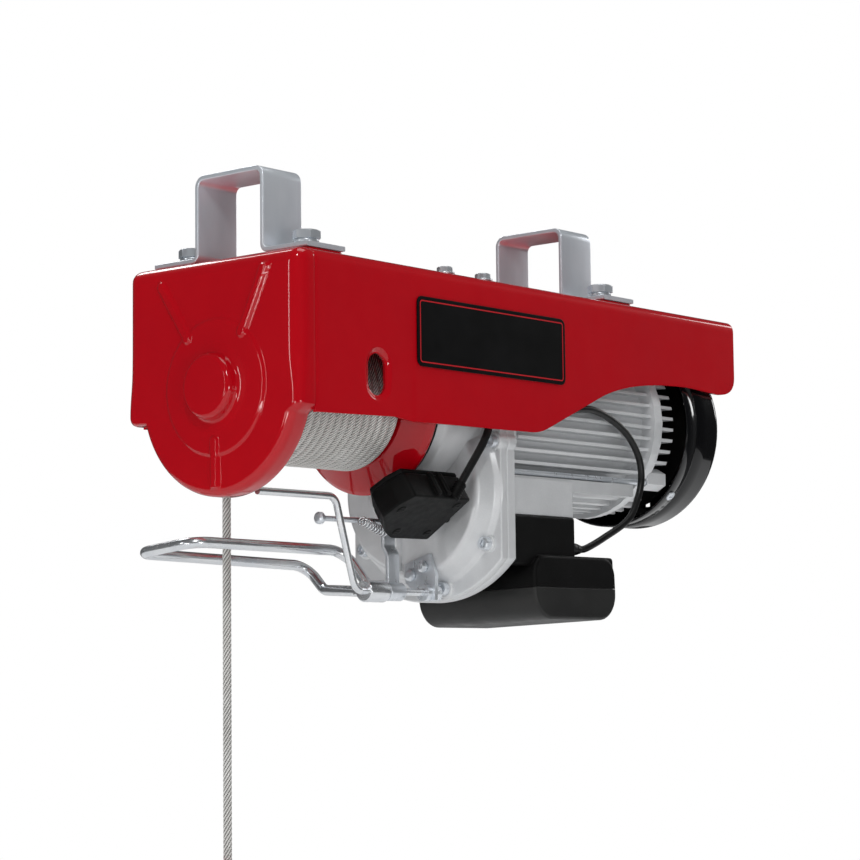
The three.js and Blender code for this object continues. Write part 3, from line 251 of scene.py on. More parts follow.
def makeRopeFinish():
    # UV: u in millimetres along a strand, v counts strands, so v = 1/2 is the groove between two strands, where the
    # colour is painted dark as shade;
    # the fine wires are stripes of cos(2 pi (u + slant v) / pitch) laid across each strand, with painted shade in the
    # gaps between the wires
    f = ropeFinish
    material, tree, shader = newFinish("ropeWires")
    split = addNode(tree, "ShaderNodeSeparateXYZ")
    tree.links.new(addNode(tree, "ShaderNodeTexCoord").outputs["UV"], split.inputs[0])
    slant = addNode(tree, "ShaderNodeMath", operation="MULTIPLY_ADD")
    slant.inputs[1].default_value = f["wireSlant"]
    tree.links.new(split.outputs["Y"], slant.inputs[0])
    tree.links.new(split.outputs["X"], slant.inputs[2])
    wires = sineOf(tree, slant.outputs[0], f["wirePitch"], 0.0, 1.0)
    groove = sineOf(tree, split.outputs["Y"], 1.0, 0.0, 1.0)
    cloud = noiseOf(tree, addNode(tree, "ShaderNodeTexCoord").outputs["Object"], 60, 4, 0.6)
    light = mixOf(tree, rangeOf(tree, cloud, 0, 1), *f["tones"])
    # painted shade: the wire tone darkens to the gap colour between the fine wires
    wired = mixOf(tree, rangeOf(tree, wires, 0.55, 1.0, 0.0, 0.6), f["gap"], light)
    # painted shade: darkens to the groove colour in the valley between two strands
    colour = mixOf(tree, rangeOf(tree, groove, 0.0, 1.0, 0.0, 0.4), f["groove"], wired)
    tree.links.new(colour, shader.inputs["Base Color"])
    tree.links.new(rangeOf(tree, cloud, 0.34, 0.5), shader.inputs["Roughness"])
    shader.inputs["Metallic"].default_value = f["metal"]
    bumpOf(tree, shader, [(wires, f["wireHeight"]), (groove, f["grooveHeight"])])
    return material


looks["ropeWires"] = makeRopeFinish()
print("finishes made", len(looks))


def circleOf(radius, count):
    # section points (r cos a, r sin a)
    a = np.linspace(0, 2 * np.pi, count, endpoint=False)
    return np.stack((radius * np.cos(a), radius * np.sin(a)), axis=1)


def roundCorners(points, radius, steps=8, closed=False, share=0.499):
    # each corner P becomes the exact arc that touches both sides: a rational quadratic curve with
    # end points P + a d and P + b d, weight sin(half the corner angle), d = radius / tan(half angle)
    points = np.asarray(points, float)
    radii = np.broadcast_to(np.asarray(radius, float), (len(points),))
    t = np.linspace(0, 1, steps + 1)[:, None]
    out = []
    for i in range(len(points)):
        if not closed and i in (0, len(points) - 1):
            out.append(points[i][None])
            continue
        before, here, after = points[i - 1], points[i], points[(i + 1) % len(points)]
        a, b = before - here, after - here
        reach = min(np.linalg.norm(a), np.linalg.norm(b)) * share
        a, b = a / np.linalg.norm(a), b / np.linalg.norm(b)
        half = math.acos(float(np.clip(a @ b, -1, 1))) / 2
        if radii[i] <= 0 or half > math.pi / 2 - 0.01:
            out.append(here[None])
            continue
        d = min(radii[i] / math.tan(half), reach)
        p0, p2, w = here + a * d, here + b * d, math.sin(half)
        out.append(((1 - t) ** 2 * p0 + 2 * t * (1 - t) * w * here + t ** 2 * p2)
                   / ((1 - t) ** 2 + 2 * t * (1 - t) * w + t ** 2))
    return np.concatenate(out)


def evenly(points, step):
    # the same path, resampled at equal distances along it
    points = np.asarray(points, float)
    along = np.concatenate(([0], np.cumsum(np.linalg.norm(np.diff(points, axis=0), axis=1))))
    want = np.linspace(0, along[-1], max(2, int(round(along[-1] / step)) + 1))
    return np.stack([np.interp(want, along, points[:, k]) for k in range(points.shape[1])], axis=1)


def closeEvenly(loop, step):
    # a closed outline, resampled at equal distances without repeating its first point
    return evenly(np.vstack((loop, loop[:1])), step)[:-1]


def smoothPath(points, step):
    # Catmull-Rom curve through the points: p(t) = cubic in t between each pair, then resampled evenly
    p = np.asarray(points, float)
    q = np.vstack((2 * p[0] - p[1], p, 2 * p[-1] - p[-2]))
    t = np.linspace(0, 1, 24, endpoint=False)[None, :, None]
    a, b, c, d = (q[k:len(q) - 3 + k][:, None, :] for k in range(4))
    curve = 0.5 * (2 * b + (c - a) * t + (2 * a - 5 * b + 4 * c - d) * t ** 2 + (3 * b - a - 3 * c + d) * t ** 3)
    return evenly(np.vstack((curve.reshape(-1, 3), p[-1])), step)


def sweep(path, section, across=(0.5, 0.6, 0.62), scale=None, twist=None):
    # section point (s, t) at path point p goes to p + s N + t B, N being 'across' squared up to the path
    path = np.asarray(path, float)
    tangent = np.gradient(path, axis=0)
    tangent /= np.linalg.norm(tangent, axis=1, keepdims=True)
    reference = np.broadcast_to(np.asarray(across, float), path.shape)
    normal = reference - (reference * tangent).sum(1, keepdims=True) * tangent
    normal /= np.linalg.norm(normal, axis=1, keepdims=True)
    binormal = np.cross(tangent, normal)
    s = np.broadcast_to(np.asarray(section, float)[None], (len(path), len(section), 2))
    if scale is not None:
        s = s * np.asarray(scale, float)[:, None, None]
    if twist is not None:
        c, n = np.cos(twist)[:, None], np.sin(twist)[:, None]
        s = np.stack((s[..., 0] * c - s[..., 1] * n, s[..., 0] * n + s[..., 1] * c), axis=2)
    return path[:, None] + s[..., :1] * normal[:, None] + s[..., 1:] * binormal[:, None]


def capped(grid):
    # closes both ends of a grid of rings with a ring shrunk to its middle
    first, last = grid[:1].mean(1, keepdims=True), grid[-1:].mean(1, keepdims=True)
    ones = np.ones((1, grid.shape[1], 1))
    return np.concatenate((first * ones, grid, last * ones))


def latheGrid(profile, centre, sides=96, upright=False):
    # (t, r) about an axis along X: (t, c1 + r cos a, c2 + r sin a); upright: (c1 + r cos a, c2 + r sin a, t)
    profile = np.asarray(profile, float)
    a = np.linspace(0, 2 * np.pi, sides, endpoint=False)[None]
    t, r = profile[:, :1] + 0 * a, profile[:, 1:]
    ring = [centre[0] + r * np.cos(a), centre[1] + r * np.sin(a)]
    return np.stack([*ring, t] if upright else [t, *ring], axis=2)


def inset(outline, distance):
    # moves a closed outline inwards along its own normals
    ahead, behind = np.roll(outline, -1, axis=0), np.roll(outline, 1, axis=0)
    t = ahead - behind
    t /= np.maximum(np.linalg.norm(t, axis=1, keepdims=True), 1e-9)
    n = np.stack((-t[:, 1], t[:, 0]), axis=1)
    area = 0.5 * np.sum(outline[:, 0] * ahead[:, 1] - ahead[:, 0] * outline[:, 1])
    return outline + n * distance * np.sign(area)


frontAxes = ((1, 0, 0), (0, 0, 1), (0, 1, 0))
flatAxes = ((1, 0, 0), (0, 1, 0), (0, 0, 1))
alongAxes = ((0, 1, 0), (0, 0, 1), (1, 0, 0))


def plateGrid(outline, low, high, rounding, axes=frontAxes, origin=(0, 0, 0), steps=4, hold=None):
    # closed slab: outline (a, b) carried from low to high, its two rims quarter-round
    q = np.linspace(0, np.pi / 2, steps + 1)
    rings = [(inset(outline, rounding * (1 - np.sin(w))), low + rounding * (1 - np.cos(w))) for w in q]
    rings += [(inset(outline, rounding * (1 - np.cos(w))), high - rounding * (1 - np.sin(w))) for w in q]
    flat = inset(outline, rounding * 1.02 + 0.25)
    rings = [(flat, low)] + rings + [(flat, high)]
    if hold is not None:
        rings = [(hold(ring), h) for ring, h in rings]
    e1, e2, e3 = (np.asarray(e, float) for e in axes)
    grid = np.stack([ring[:, :1] * e1 + ring[:, 1:] * e2 + h * e3 for ring, h in rings])
    return capped(grid + np.asarray(origin, float))


def shellFaces(grid, closeU, closeV, start):
    # quads between neighbouring rings and spokes of a grid, with the grid's own (u, v) at each corner
    nu, nv = grid.shape[:2]
    index = np.arange(nu * nv).reshape(nu, nv) + start
    if closeU:
        index = np.vstack((index, index[:1]))
    if closeV:
        index = np.hstack((index, index[:, :1]))
    nu, nv = index.shape[0] - 1, index.shape[1] - 1
    place = np.stack(np.meshgrid(np.arange(nu + 1), np.arange(nv + 1), indexing="ij"), axis=2)
    corners = [(0, 0), (1, 0), (1, 1), (0, 1)]
    faces = np.stack([index[i:i + nu, j:j + nv] for i, j in corners], axis=2).reshape(-1, 4)
    uv = np.stack([place[i:i + nu, j:j + nv] for i, j in corners], axis=2).reshape(-1, 4, 2).astype(float)
    return faces, uv


def makePiece(name, shells, look, body, replaced=(), sharp=38, uvScale=None, outward=None):
    # a shell is a grid of closed rings, or (grid, closeU, closeV) with, for a pierced sheet, the cells kept;
    # an open sheet's furthest face along outward looks that way
    points, faces, uvs, start = [], [], [], 0
    for shell in shells:
        grid, closeU, closeV, kept = (*shell, None)[:4] if isinstance(shell, tuple) else (shell, False, True, None)
        f, uv = shellFaces(grid, closeU, closeV, start)
        if kept is not None:
            f, uv = f[kept.ravel()], uv[kept.ravel()]
        points.append(grid.reshape(-1, 3))
        faces.append(f)
        uvs.append(uv)
        start += grid.shape[0] * grid.shape[1]
    faces = np.concatenate(faces)
    used, index = np.unique(faces, return_inverse=True)
    mesh = bpy.data.meshes.new(name)
    mesh.from_pydata(toRow(np.concatenate(points)[used]).tolist(), [], index.reshape(faces.shape).tolist())
    if uvScale is not None:
        layer = mesh.uv_layers.new(name="UVMap")
        layer.data.foreach_set("uv", (np.concatenate(uvs) * np.asarray(uvScale)).ravel())
    work = bmesh.new()
    work.from_mesh(mesh)
    bmesh.ops.remove_doubles(work, verts=work.verts, dist=1e-6)
    bmesh.ops.dissolve_degenerate(work, edges=work.edges, dist=1e-7)
    bmesh.ops.recalc_face_normals(work, faces=work.faces)
    if outward is not None:
        way = Vector(outward)
        furthest = max(work.faces, key=lambda face: face.calc_center_median().dot(way))
        if furthest.normal.dot(way) < 0:
            bmesh.ops.reverse_faces(work, faces=work.faces)
    work.to_mesh(mesh)
    work.free()
    mesh.shade_smooth()
    mesh.set_sharp_from_angle(angle=math.radians(sharp))
    mesh.materials.append(looks[look])
    piece = bpy.data.objects.new(name, mesh)
    bpy.context.scene.collection.objects.link(piece)
    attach(piece, body)
    if replaced:
        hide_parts(*replaced)
    return piece


def tubePiece(name, path, radius, look, body, replaced, sides):
    # round bar with its UV running once round in 0 to 1
    grid = capped(sweep(path, circleOf(radius, sides)))
    return makePiece(name, [grid], look, body, replaced, uvScale=(1 / 8, 1 / sides))


def thicken(piece, sheet, rounding=0.0):
    # sheet thickness goes inwards from the outer skin
    wall = piece.modifiers.new("wall", "SOLIDIFY")
    wall.thickness = sheet * millimetre
    wall.offset = -1
    if rounding > 0:
        edge = piece.modifiers.new("edge", "BEVEL")
        edge.width = rounding * millimetre
        edge.segments = 2
        edge.limit_method = "ANGLE"
        edge.angle_limit = math.radians(50)


rope = {"x": 61.5, "y": 46.3, "top": -86.0, "bottom": -413.6, "radius": 3.0, "layLength": 24.0, "strands": 7,
        "perStrand": 4, "rows": 330, "wireStep": 0.955}


def strandSection(radius, strands, perStrand, shallow=0.8):
    # round strands side by side on the rope: rho(a) = R (1 - depth |a / half pitch|^2), a from each strand middle
    count = strands * perStrand
    a = np.linspace(0, 2 * np.pi, count, endpoint=False)
    half = np.pi / strands
    off = ((a + half) % (2 * half) - half) / half
    rho = radius * (1 - (1 - shallow) * off ** 2)
    return np.stack((rho * np.cos(a), rho * np.sin(a)), axis=1)


def makeHangingRope():
    # straight fall from the drum's tangent, the strands turning once in each lay length
    r = rope
    z = np.linspace(r["top"], r["bottom"], r["rows"])
    path = np.stack((0 * z + r["x"], 0 * z + r["y"], z), axis=1)
    twist = (r["top"] - z) / r["layLength"] * 2 * np.pi
    section = strandSection(r["radius"], r["strands"], r["perStrand"])
    piece = makePiece("hangingRope", [capped(sweep(path, section, (1, 0, 0), twist=twist))], "ropeWires", "load",
                      ["hanging_rope"], sharp=180, uvScale=(r["wireStep"], 1 / r["perStrand"]))
    return piece, toRow(path[::8]), (r["top"] - r["bottom"]) * millimetre


hangingRope, ropePath, ropeLength = makeHangingRope()


leads = {
    "motorLead": {
        "stands": "motor_lead", "radius": 2.6,
        "route": [(318.9, -61, -184.8), (326.4, -61.5, -183.6), (342.4, -65, -176), (363, -73, -162),
                  (375, -73.6, -146), (380, -74, -130), (377, -74, -114), (364, -74, -99), (345, -74, -89),
                  (322, -74, -83), (303, -74, -83.5), (288, -74, -87), (271.1, -74, -89.6), (261.3, -74, -90)],
    },
    "switchLead": {
        "stands": "switch_lead", "radius": 2.8,
        "route": [(170.8, -71.5, -144.1), (175, -72.1, -138.3), (184, -73.1, -126.5), (193, -73.6, -115),
                  (199.5, -73.4, -104.5), (203, -72.2, -96), (203.8, -69.6, -88.5), (203.5, -66.4, -83.2)],
    },
}


def makeLead(name, lead):
    # round tube on a Catmull-Rom route
    path = smoothPath(lead["route"], 2.2)
    piece = tubePiece(name, path, lead["radius"], "blackRubber", "frame", [lead["stands"]], 20)
    length = float(np.linalg.norm(np.diff(path, axis=0), axis=1).sum()) * millimetre
    points = toRow(path)
    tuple(points[0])
    return length


leadLengths = [makeLead(name, lead) for name, lead in leads.items()]
print("cords laid: rope %.3f m, motor lead %.3f m, switch lead %.3f m" % (ropeLength, *leadLengths))


drumShape = {
    "section": [(8.0, 26), (8.0, 64), (11.0, 64), (11.0, 33), (14, 30), (131, 30), (133.6, 33), (134.6, 46.8),
                (145.2, 61.6), (148.0, 64.3), (151.7, 64.3), (151.7, 60.5), (148.3, 60.2), (138.6, 46), (138.6, 26)],
    "rounding": [1, 1.2, 1.2, 2, 2, 2, 2, 3, 2.5, 1.6, 1.6, 1.6, 1.2, 2, 1],
    "sides": 128,
}


def makeDrum():
    # spool lathed in one closed section: small flange, barrel, flared flange with a rounded rim
    profile = roundCorners(drumShape["section"], drumShape["rounding"], 5, closed=True)
    grid = latheGrid(profile, drumAxis, drumShape["sides"])
    makePiece("drumSpool", [(grid, True, True)], "redPaint", "drum", ["drum"], sharp=50)


winding = {"first": 16.7, "last": 131.3, "centre": 44.9, "pitch": 6.75, "perTurn": 320, "phase": 0.3,
           "radius": 3.24, "strands": 9, "perStrand": 2, "shallow": 0.86, "twists": 13,
           "overSweep": 165, "overRows": 90, "overLift": 1.2, "overShift": 1.6, "overStep": 1.65}


def makeWinding():
    # helix (x0 + p t, R cos, R sin) of stranded rope; the strands turn thirteen times in each turn of the drum
    w = winding
    turns = (w["last"] - w["first"]) / w["pitch"]
    t = np.linspace(0, turns, int(turns * w["perTurn"]))
    a = 2 * np.pi * (t - turns) + w["phase"]
    r = w["centre"]
    path = np.stack((w["first"] + w["pitch"] * t, drumAxis[0] + r * np.cos(a), drumAxis[1] + r * np.sin(a)), axis=1)
    section = strandSection(w["radius"], w["strands"], w["perStrand"], w["shallow"])
    grid = capped(sweep(path, section, (1, 0, 0), twist=2 * np.pi * w["twists"] * t))
    makePiece("ropeWinding", [grid], "ropeWires", "drum", ["rope_winding"], sharp=180,
              uvScale=(2 * np.pi * r / w["perTurn"], 1 / w["perStrand"]))
    # the lead-off: from the tangent at the back, over the top and down between two turns
    b = np.linspace(0, math.radians(w["overSweep"]), w["overRows"])
    s = np.clip((b - 0.5) / 1.9, 0, 1)
    out = rope["y"] - drumAxis[0]
    lift = out + (r - out + w["overLift"]) * s * s * (3 - 2 * s)
    over = np.stack((rope["x"] + w["overShift"] * s, drumAxis[0] + lift * np.cos(b),
                     drumAxis[1] + lift * np.sin(b)), axis=1)
    section = strandSection(rope["radius"], rope["strands"], rope["perStrand"])
    grid = capped(sweep(over, section, (1, 0, 0), twist=-b * w["twists"]))
    makePiece("ropeLeadOff", [grid], "ropeWires", "drum", sharp=180, uvScale=(w["overStep"], 1 / rope["perStrand"]))


def makeBlackRingBehindDrum():
    # flat black ring behind the drum's rim, filling the space between the drum and the gear case
    profile = roundCorners([(153, 45), (153, 61.5), (156.7, 61.5), (156.7, 45)], 1.0, 4, closed=True)
    makePiece("blackRingBehindDrum", [(latheGrid(profile, drumAxis), True, True)], "blackPlastic", "frame",
              ["drum_shield_ring"])


makeDrum()
makeWinding()
makeBlackRingBehindDrum()
print("drum and winding made")


channel = {
    "start": 15.8, "end": 500.0, "half": 80.0, "bend": 8.0, "sheet": 2.5,
    "lowerLine": [(112, -106.5), (250, -104.9), (321.6, -74.3)], "kneeX": 250,
    "slotX": 77.0, "slotZ": -77.5, "slotHalfWidth": 8.7, "slotHalfHeight": 14.0,
    "slotPress": 2.0, "slotLip": 4.6, "windowFrom": 54.9, "windowTo": 99.4, "windowTop": -51.0,
    "creaseX": 112.5, "creaseDepth": 0.35,
}


def bottomEdge(x):
    # lower edge of the side walls: level by the drum, then a slope, and two quadratic curves
    # (1 - t)^2 A + 2 t (1 - t) B + t^2 C up to the motor end
    t = np.linspace(0, 1, 40)[:, None]
    rise, tail = ((1 - t) ** 2 * a + 2 * t * (1 - t) * np.array(b) + t ** 2 * c for a, b, c in (
        ((321.6, -74.3), (361.0, -57.4), (438.0, -57.4)), ((472.0, -59.4), (500.0, -61.0), (500.0, -44.0))))
    start = [(15.8, -107), (95, -104.5), (112, -106.5)]
    line = np.vstack((start, evenly(channel["lowerLine"], 3)[1:-1], rise, tail))
    # a short running mean softens the knee
    mean = np.mean([np.interp(x + w, line[:, 0], line[:, 1]) for w in np.linspace(-9, 9, 13)], axis=0)
    return np.where(np.abs(x - channel["kneeX"]) < 20, mean, np.interp(x, line[:, 0], line[:, 1]))


def slotShell(ring, side):
    # spokes from the slot's hole to the window round it; near the hole the sheet is pressed in on a smooth step
    c = channel
    away = ring[:, [0, 2]] - (c["slotX"], c["slotZ"])
    # the hole in the same direction: straight flanks and two half-round ends
    straight = c["slotHalfHeight"] - c["slotHalfWidth"]
    d = away / np.linalg.norm(away, axis=1, keepdims=True)
    toFlank = c["slotHalfWidth"] / np.maximum(np.abs(d[:, 0]), 1e-6)
    onFlank = toFlank * np.abs(d[:, 1]) <= straight
    b = straight * np.abs(d[:, 1])
    toRound = b + np.sqrt(np.maximum(b ** 2 - straight ** 2 + c["slotHalfWidth"] ** 2, 0))
    hole = d * np.where(onFlank, toFlank, toRound)[:, None]
    s = np.concatenate((np.linspace(0, 1, 11)[:-1] * 0.4, np.linspace(0.4, 1, 7)))[:, None]
    flat = hole[None] + (away - hole)[None] * s[..., None]
    dip = np.clip(1 - np.linalg.norm(flat - hole[None], axis=2) / c["slotLip"], 0, 1)
    dip = dip * dip * (3 - 2 * dip) * c["slotPress"]
    y = np.where(s < 1, ring[None, :, 1] * s + side * c["half"] * (1 - s) - side * dip, ring[None, :, 1])
    return np.stack((flat[..., 0] + c["slotX"], y, flat[..., 1] + c["slotZ"]), 2)


def makeChannel():
    # one skin z(u, v): u runs along the frame, v up one wall, round the bend, across the top and down the other
    c = channel
    x = np.unique(np.concatenate((
        np.linspace(c["start"], 52, 10), np.linspace(52, 102, 21), np.linspace(102, 124, 19),
        np.linspace(124, 470, 116), 470 + 30 * np.sin(np.linspace(0, np.pi / 2, 16)))))
    low, across = bottomEdge(x)[:, None], x[:, None]
    wallRows, wallTop = 30, -c["bend"]
    bend = np.linspace(0, np.pi / 2, 9)[None, 1:-1]
    zWall = low + (wallTop - low) * np.linspace(0, 1, wallRows)[None]
    # crease: a shallow upright step in the wall
    fall = np.clip((-60 - zWall) / 20, 0, 1)
    step = 1 - 1 / (1 + np.exp(-(across - c["creaseX"]) / 0.9))
    yWall = -c["half"] + c["creaseDepth"] * fall * step * np.exp(-((across - c["creaseX"]) / 26) ** 2)
    yBend = -c["half"] + c["bend"] * (1 - np.cos(bend)) + 0 * across
    yTop = (c["half"] - c["bend"]) * np.linspace(-1, 1, 41)[None] + 0 * across
    half = [np.stack((across + 0 * y, y, z + 0 * y), 2)
            for y, z in ((yWall, zWall), (yBend, wallTop + c["bend"] * np.sin(bend)))]
    mirror = [(g * (1, -1, 1))[:, ::-1] for g in half[::-1]]
    grid = np.concatenate([*half, np.stack((across + 0 * yTop, yTop, 0 * yTop), 2), *mirror], axis=1)
    nu, nv = grid.shape[:2]
    # a window of cells round the slot is left out of the grid on both walls
    u0, u1 = np.searchsorted(x, c["windowFrom"]), np.searchsorted(x, c["windowTo"])
    v0, v1 = 1, int(np.argmin(np.abs(grid[(u0 + u1) // 2, :wallRows, 2] - c["windowTop"])))
    keep = np.ones((nu - 1, nv - 1), bool)
    shells = [(grid, False, False, keep)]
    for side, (va, vb) in ((-1, (v0, v1)), (1, (nv - 1 - v1, nv - 1 - v0))):
        keep[u0:u1, va:vb] = False
        ring = np.concatenate((grid[u0:u1, va], grid[u1, va:vb], grid[u1:u0:-1, vb], grid[u0, vb:va:-1]))
        shells.append(slotShell(ring, side))
    piece = makePiece("frameChannel", shells, "redPaint", "frame", ["frame_channel"], sharp=60, outward=(0, 0, 1))
    thicken(piece, c["sheet"], 0.7)


makeChannel()
print("frame channel made")


endPlate = {
    "circle": 72.0, "half": 80.0, "sideLow": -106.5, "corner": 8.0, "sheet": 3.0,
    "rim": 6.0, "sideRim": 10.0, "lip": 15.5, "ribHalf": 3.5, "ribHeight": 2.2,
    "domeRadii": [0, 18.6, 19.8, 20.8, 21.5, 22.0, 22.3, 22.6, 23.6, 25.2, 29.5, 33, 44.0, 45.0, 45.6, 300],
    "domeHeights": [10, 10, 9.6, 8.7, 7.5, 6.0, 4.6, 3.4, 2.7, 2.3, 1.6, 1.4, 1.2, 0.9, 0, 0],
    "ribs": [(20, -52, 45, -15), (-30, -52, -51, -10), (-5, -122, -5, -152)],
}


def plateOutline(inset, angles):
    # rho(a) from the shaft centre to the outline moved in by inset: the larger of a round-cornered box and a circle
    p = endPlate
    cy, cz = drumAxis
    side, low, radius = p["half"] - inset, p["sideLow"] + inset * 0.3, p["circle"] - inset
    box = roundCorners([(-side, low), (side, low), (side, -inset), (-side, -inset)],
                       [6, 6, max(p["corner"] - inset, 1.5), max(p["corner"] - inset, 1.5)], 12, closed=True)
    box = evenly(np.vstack((box, box[:1])), 0.5) - (cy, cz)
    turn = np.arctan2(box[:, 1], box[:, 0])
    order = np.argsort(turn)
    turn, reach = turn[order], np.linalg.norm(box, axis=1)[order]
    rho = np.interp(angles, np.concatenate((turn - 2 * np.pi, turn, turn + 2 * np.pi)), np.tile(reach, 3))
    # soft maximum, so the shoulder between box and circle is a small fillet
    k = 1.6
    rho = radius + k * np.logaddexp(0, (rho - radius) / k)
    return np.stack((cy + rho * np.cos(angles), cz + rho * np.sin(angles)), 1)


def makeEndPlate():
    # height field on spokes from the shaft centre: dish, boss, cap and ribs; then a quarter-round rim and a lip
    p = endPlate
    angles = np.linspace(-np.pi, np.pi, 400, endpoint=False)
    outline = plateOutline(0, angles)
    # the rim's radius grows from the lower circle to the upright sides and the top
    upper = 1 / (1 + np.exp(-(outline[:, 1] + 84) / 6))
    rim = p["rim"] + (p["sideRim"] - p["rim"]) * upper

    def ringAt(share):
        tight, wide = plateOutline(p["rim"] * share, angles), plateOutline(p["sideRim"] * share, angles)
        return tight + (wide - tight) * upper[:, None]

    spoke = ringAt(1.0) - drumAxis
    reach = np.linalg.norm(spoke, axis=1)
    radii = np.unique(np.concatenate((np.linspace(0, 18, 8), np.linspace(18, 27, 25), np.linspace(27, 50, 30))))
    share = np.linspace(0, 1, 44)[1:]
    r = np.concatenate((radii[:, None] + 0 * reach[None], 50 + (reach[None] - 50) * share[:, None]))
    yz = np.array(drumAxis) + spoke[None] / reach[None, :, None] * r[..., None]
    kernel = np.interp(r, [0, 30, 34, 40, 300], [0.25, 0.25, 1, 1, 1])
    soft = [np.interp(r + w * kernel, p["domeRadii"], p["domeHeights"]) for w in np.linspace(-0.9, 0.9, 7)]
    out = np.mean(soft, axis=0)
    for y0, z0, y1, z1 in p["ribs"]:
        d = np.array([y1 - y0, z1 - z0])
        length = np.linalg.norm(d)
        d = d / length
        rel = yz - (y0, z0)
        t = np.clip(rel @ d, 0, length)
        away = np.linalg.norm(rel - t[..., None] * d, axis=2)
        hill = np.clip((p["ribHalf"] + 1.0 - away) / 2.2, 0, 1)
        hill = hill * hill * (3 - 2 * hill)
        out = np.maximum(out, 0) + p["ribHeight"] * hill * np.clip(1 - out / 3, 0, 1)
    face = np.stack((-out, yz[..., 0], yz[..., 1]), axis=2)
    turn = np.linspace(0, np.pi / 2, 9)[1:]
    rimRings = [np.column_stack((rim * (1 - math.cos(w)), ringAt(1 - math.sin(w)))) for w in turn]
    lipRings = [np.column_stack((rim + (p["lip"] - rim) * h, outline)) for h in (0.3, 0.6, 1.0)]
    grid = np.concatenate((face, np.stack(rimRings + lipRings)))
    piece = makePiece("endPlate", [grid], "redPaint", "frame", ["end_plate"], sharp=60, outward=(-1, 0, 0))
    thicken(piece, p["sheet"], 0.7)


makeEndPlate()
print("end plate made")


namePlate = {"box": (115.4, -68.6, 279.0, -20.8), "corner": 5.0, "inset": 2.6, "line": 0.9,
             "back": -80.15, "face": -81.1, "lineBack": -81.0, "lineFace": -81.18}


def roundedRectangle(left, low, right, high, radius, step=1.5):
    corners = [(left, low), (right, low), (right, high), (left, high)]
    return closeEvenly(roundCorners(corners, radius, 8, closed=True), step)


def makeNamePlate():
    # thin black sticker with an unlettered face and one red line set in from its edge
    n = namePlate
    outline = roundedRectangle(*n["box"], n["corner"])
    makePiece("namePlate", [plateGrid(outline, n["face"], n["back"], 0.3)], "plateBlack", "frame", ["name_plate"])
    outer, inner = inset(outline, n["inset"]), inset(outline, n["inset"] + n["line"])
    levels = [(outer, n["lineBack"]), (outer, n["lineFace"]), (inner, n["lineFace"]), (inner, n["lineBack"])]
    grid = np.stack([np.column_stack((o[:, 0], np.full(len(o), y), o[:, 1])) for o, y in levels])
    makePiece("namePlateLine", [(grid, True, True)], "plateRed", "frame")


makeNamePlate()


clamps = {"centres": (36.3, 359.7), "width": 37.0, "inner": 57.6, "base": 2.3, "top": 61.4, "sheet": 3.3,
          "bend": 8.0, "foot": 71.1, "boltY": 53.55, "padHalf": 18, "padFrom": 30.5, "padTo": 70.5, "padHeight": 2.0}


def stripSection(width, height, radius=0.8):
    corners = [(-width / 2, -height / 2), (width / 2, -height / 2), (width / 2, height / 2), (-width / 2, height / 2)]
    return roundCorners(corners, radius, 4, closed=True)


def makeClamp(name, centreX, node):
    # strap: round-edged strip section carried along the hat-shaped line foot, leg, top, leg, foot
    c = clamps
    mid = c["sheet"] / 2
    side, base, top = c["inner"] / 2 + mid, c["base"] + mid, c["top"] - mid
    line = [(-c["foot"], base), (-side, base), (-side, top), (side, top), (side, base), (c["foot"], base)]
    bend = c["bend"] - mid
    path = roundCorners(line, [0, bend - 2, bend, bend, bend - 2, 0], 10)
    path = np.column_stack((np.full(len(path), centreX), path))
    path = np.vstack([evenly(path[i:i + 2], 6)[:-1] for i in range(len(path) - 1)] + [path[-1:]])
    grid = capped(sweep(path, stripSection(c["width"], c["sheet"]), (1, 0, 0)))
    makePiece(name, [grid], "zincStrap", "frame", [node], sharp=45)


hexHead = {"chamfer": 0.16, "crown": 1.16, "flatEdge": 0.93, "steps": 5, "sides": 72}


def hexGrid(centre, low, high, across):
    # rho(a, t) = min(flat / cos(a mod 60 deg - 30 deg), turned cone): a hexagon with a turned top edge
    h = hexHead
    a = np.linspace(0, 2 * np.pi, h["sides"], endpoint=False)
    flat = across / 2
    hexagon = flat / np.cos((a + 1e-9) % (np.pi / 3) - np.pi / 6)
    t = np.linspace(0, 1, h["steps"])
    cone = flat * h["crown"] - flat * (h["crown"] - h["flatEdge"]) * t
    rings = [(hexagon, low)] + [(np.minimum(hexagon, r), high - h["chamfer"] * (high - low) * (1 - k))
                                for r, k in zip(cone, t)]
    grid = np.stack([np.column_stack((rho * np.cos(a), rho * np.sin(a), 0 * a + z)) for rho, z in rings])
    return capped(grid + np.asarray(centre, float))


def discGrid(centre, low, high, radius, rounding=0.4, sides=64):
    return plateGrid(circleOf(radius, sides), low, high, rounding, flatAxes, centre, 3)


def makeClampBolts():
    # washers, head, shank, nut and the shank's end, one above the other
    spots = [(x, y, 0) for x in clamps["centres"] for y in (-clamps["boltY"], clamps["boltY"])]
    for number, at in enumerate(spots, 1):
        shells = [discGrid(at, 5.9, 7.6, 10.4, 0.5), discGrid(at, 7.8, 10.3, 8.3, 0.6, 48),
                  hexGrid(at, 10.4, 16.3, 16.8), discGrid(at, -14.5, 12, 4.9, 0.8, 32),
                  hexGrid(at, -10.2, -2.9, 16.8), discGrid(at, 16.2, 16.5, 5.6, 0.15, 40)]
        makePiece("clampBolt%d" % number, shells, "zinc", "frame", ["clamp_bolt_%d" % number])


def makeClampPads():
    # the frame's top is pressed up 2 mm under each clamp foot
    c = clamps
    spots = [(x, *sorted((side * c["padFrom"], side * c["padTo"]))) for x in c["centres"] for side in (-1, 1)]
    outlines = [roundedRectangle(x - c["padHalf"], low, x + c["padHalf"], high, 4) for x, low, high in spots]
    makePiece("frameClampPads", [plateGrid(o, -0.6, c["padHeight"], 0.9, flatAxes) for o in outlines],
              "redPaint", "frame")


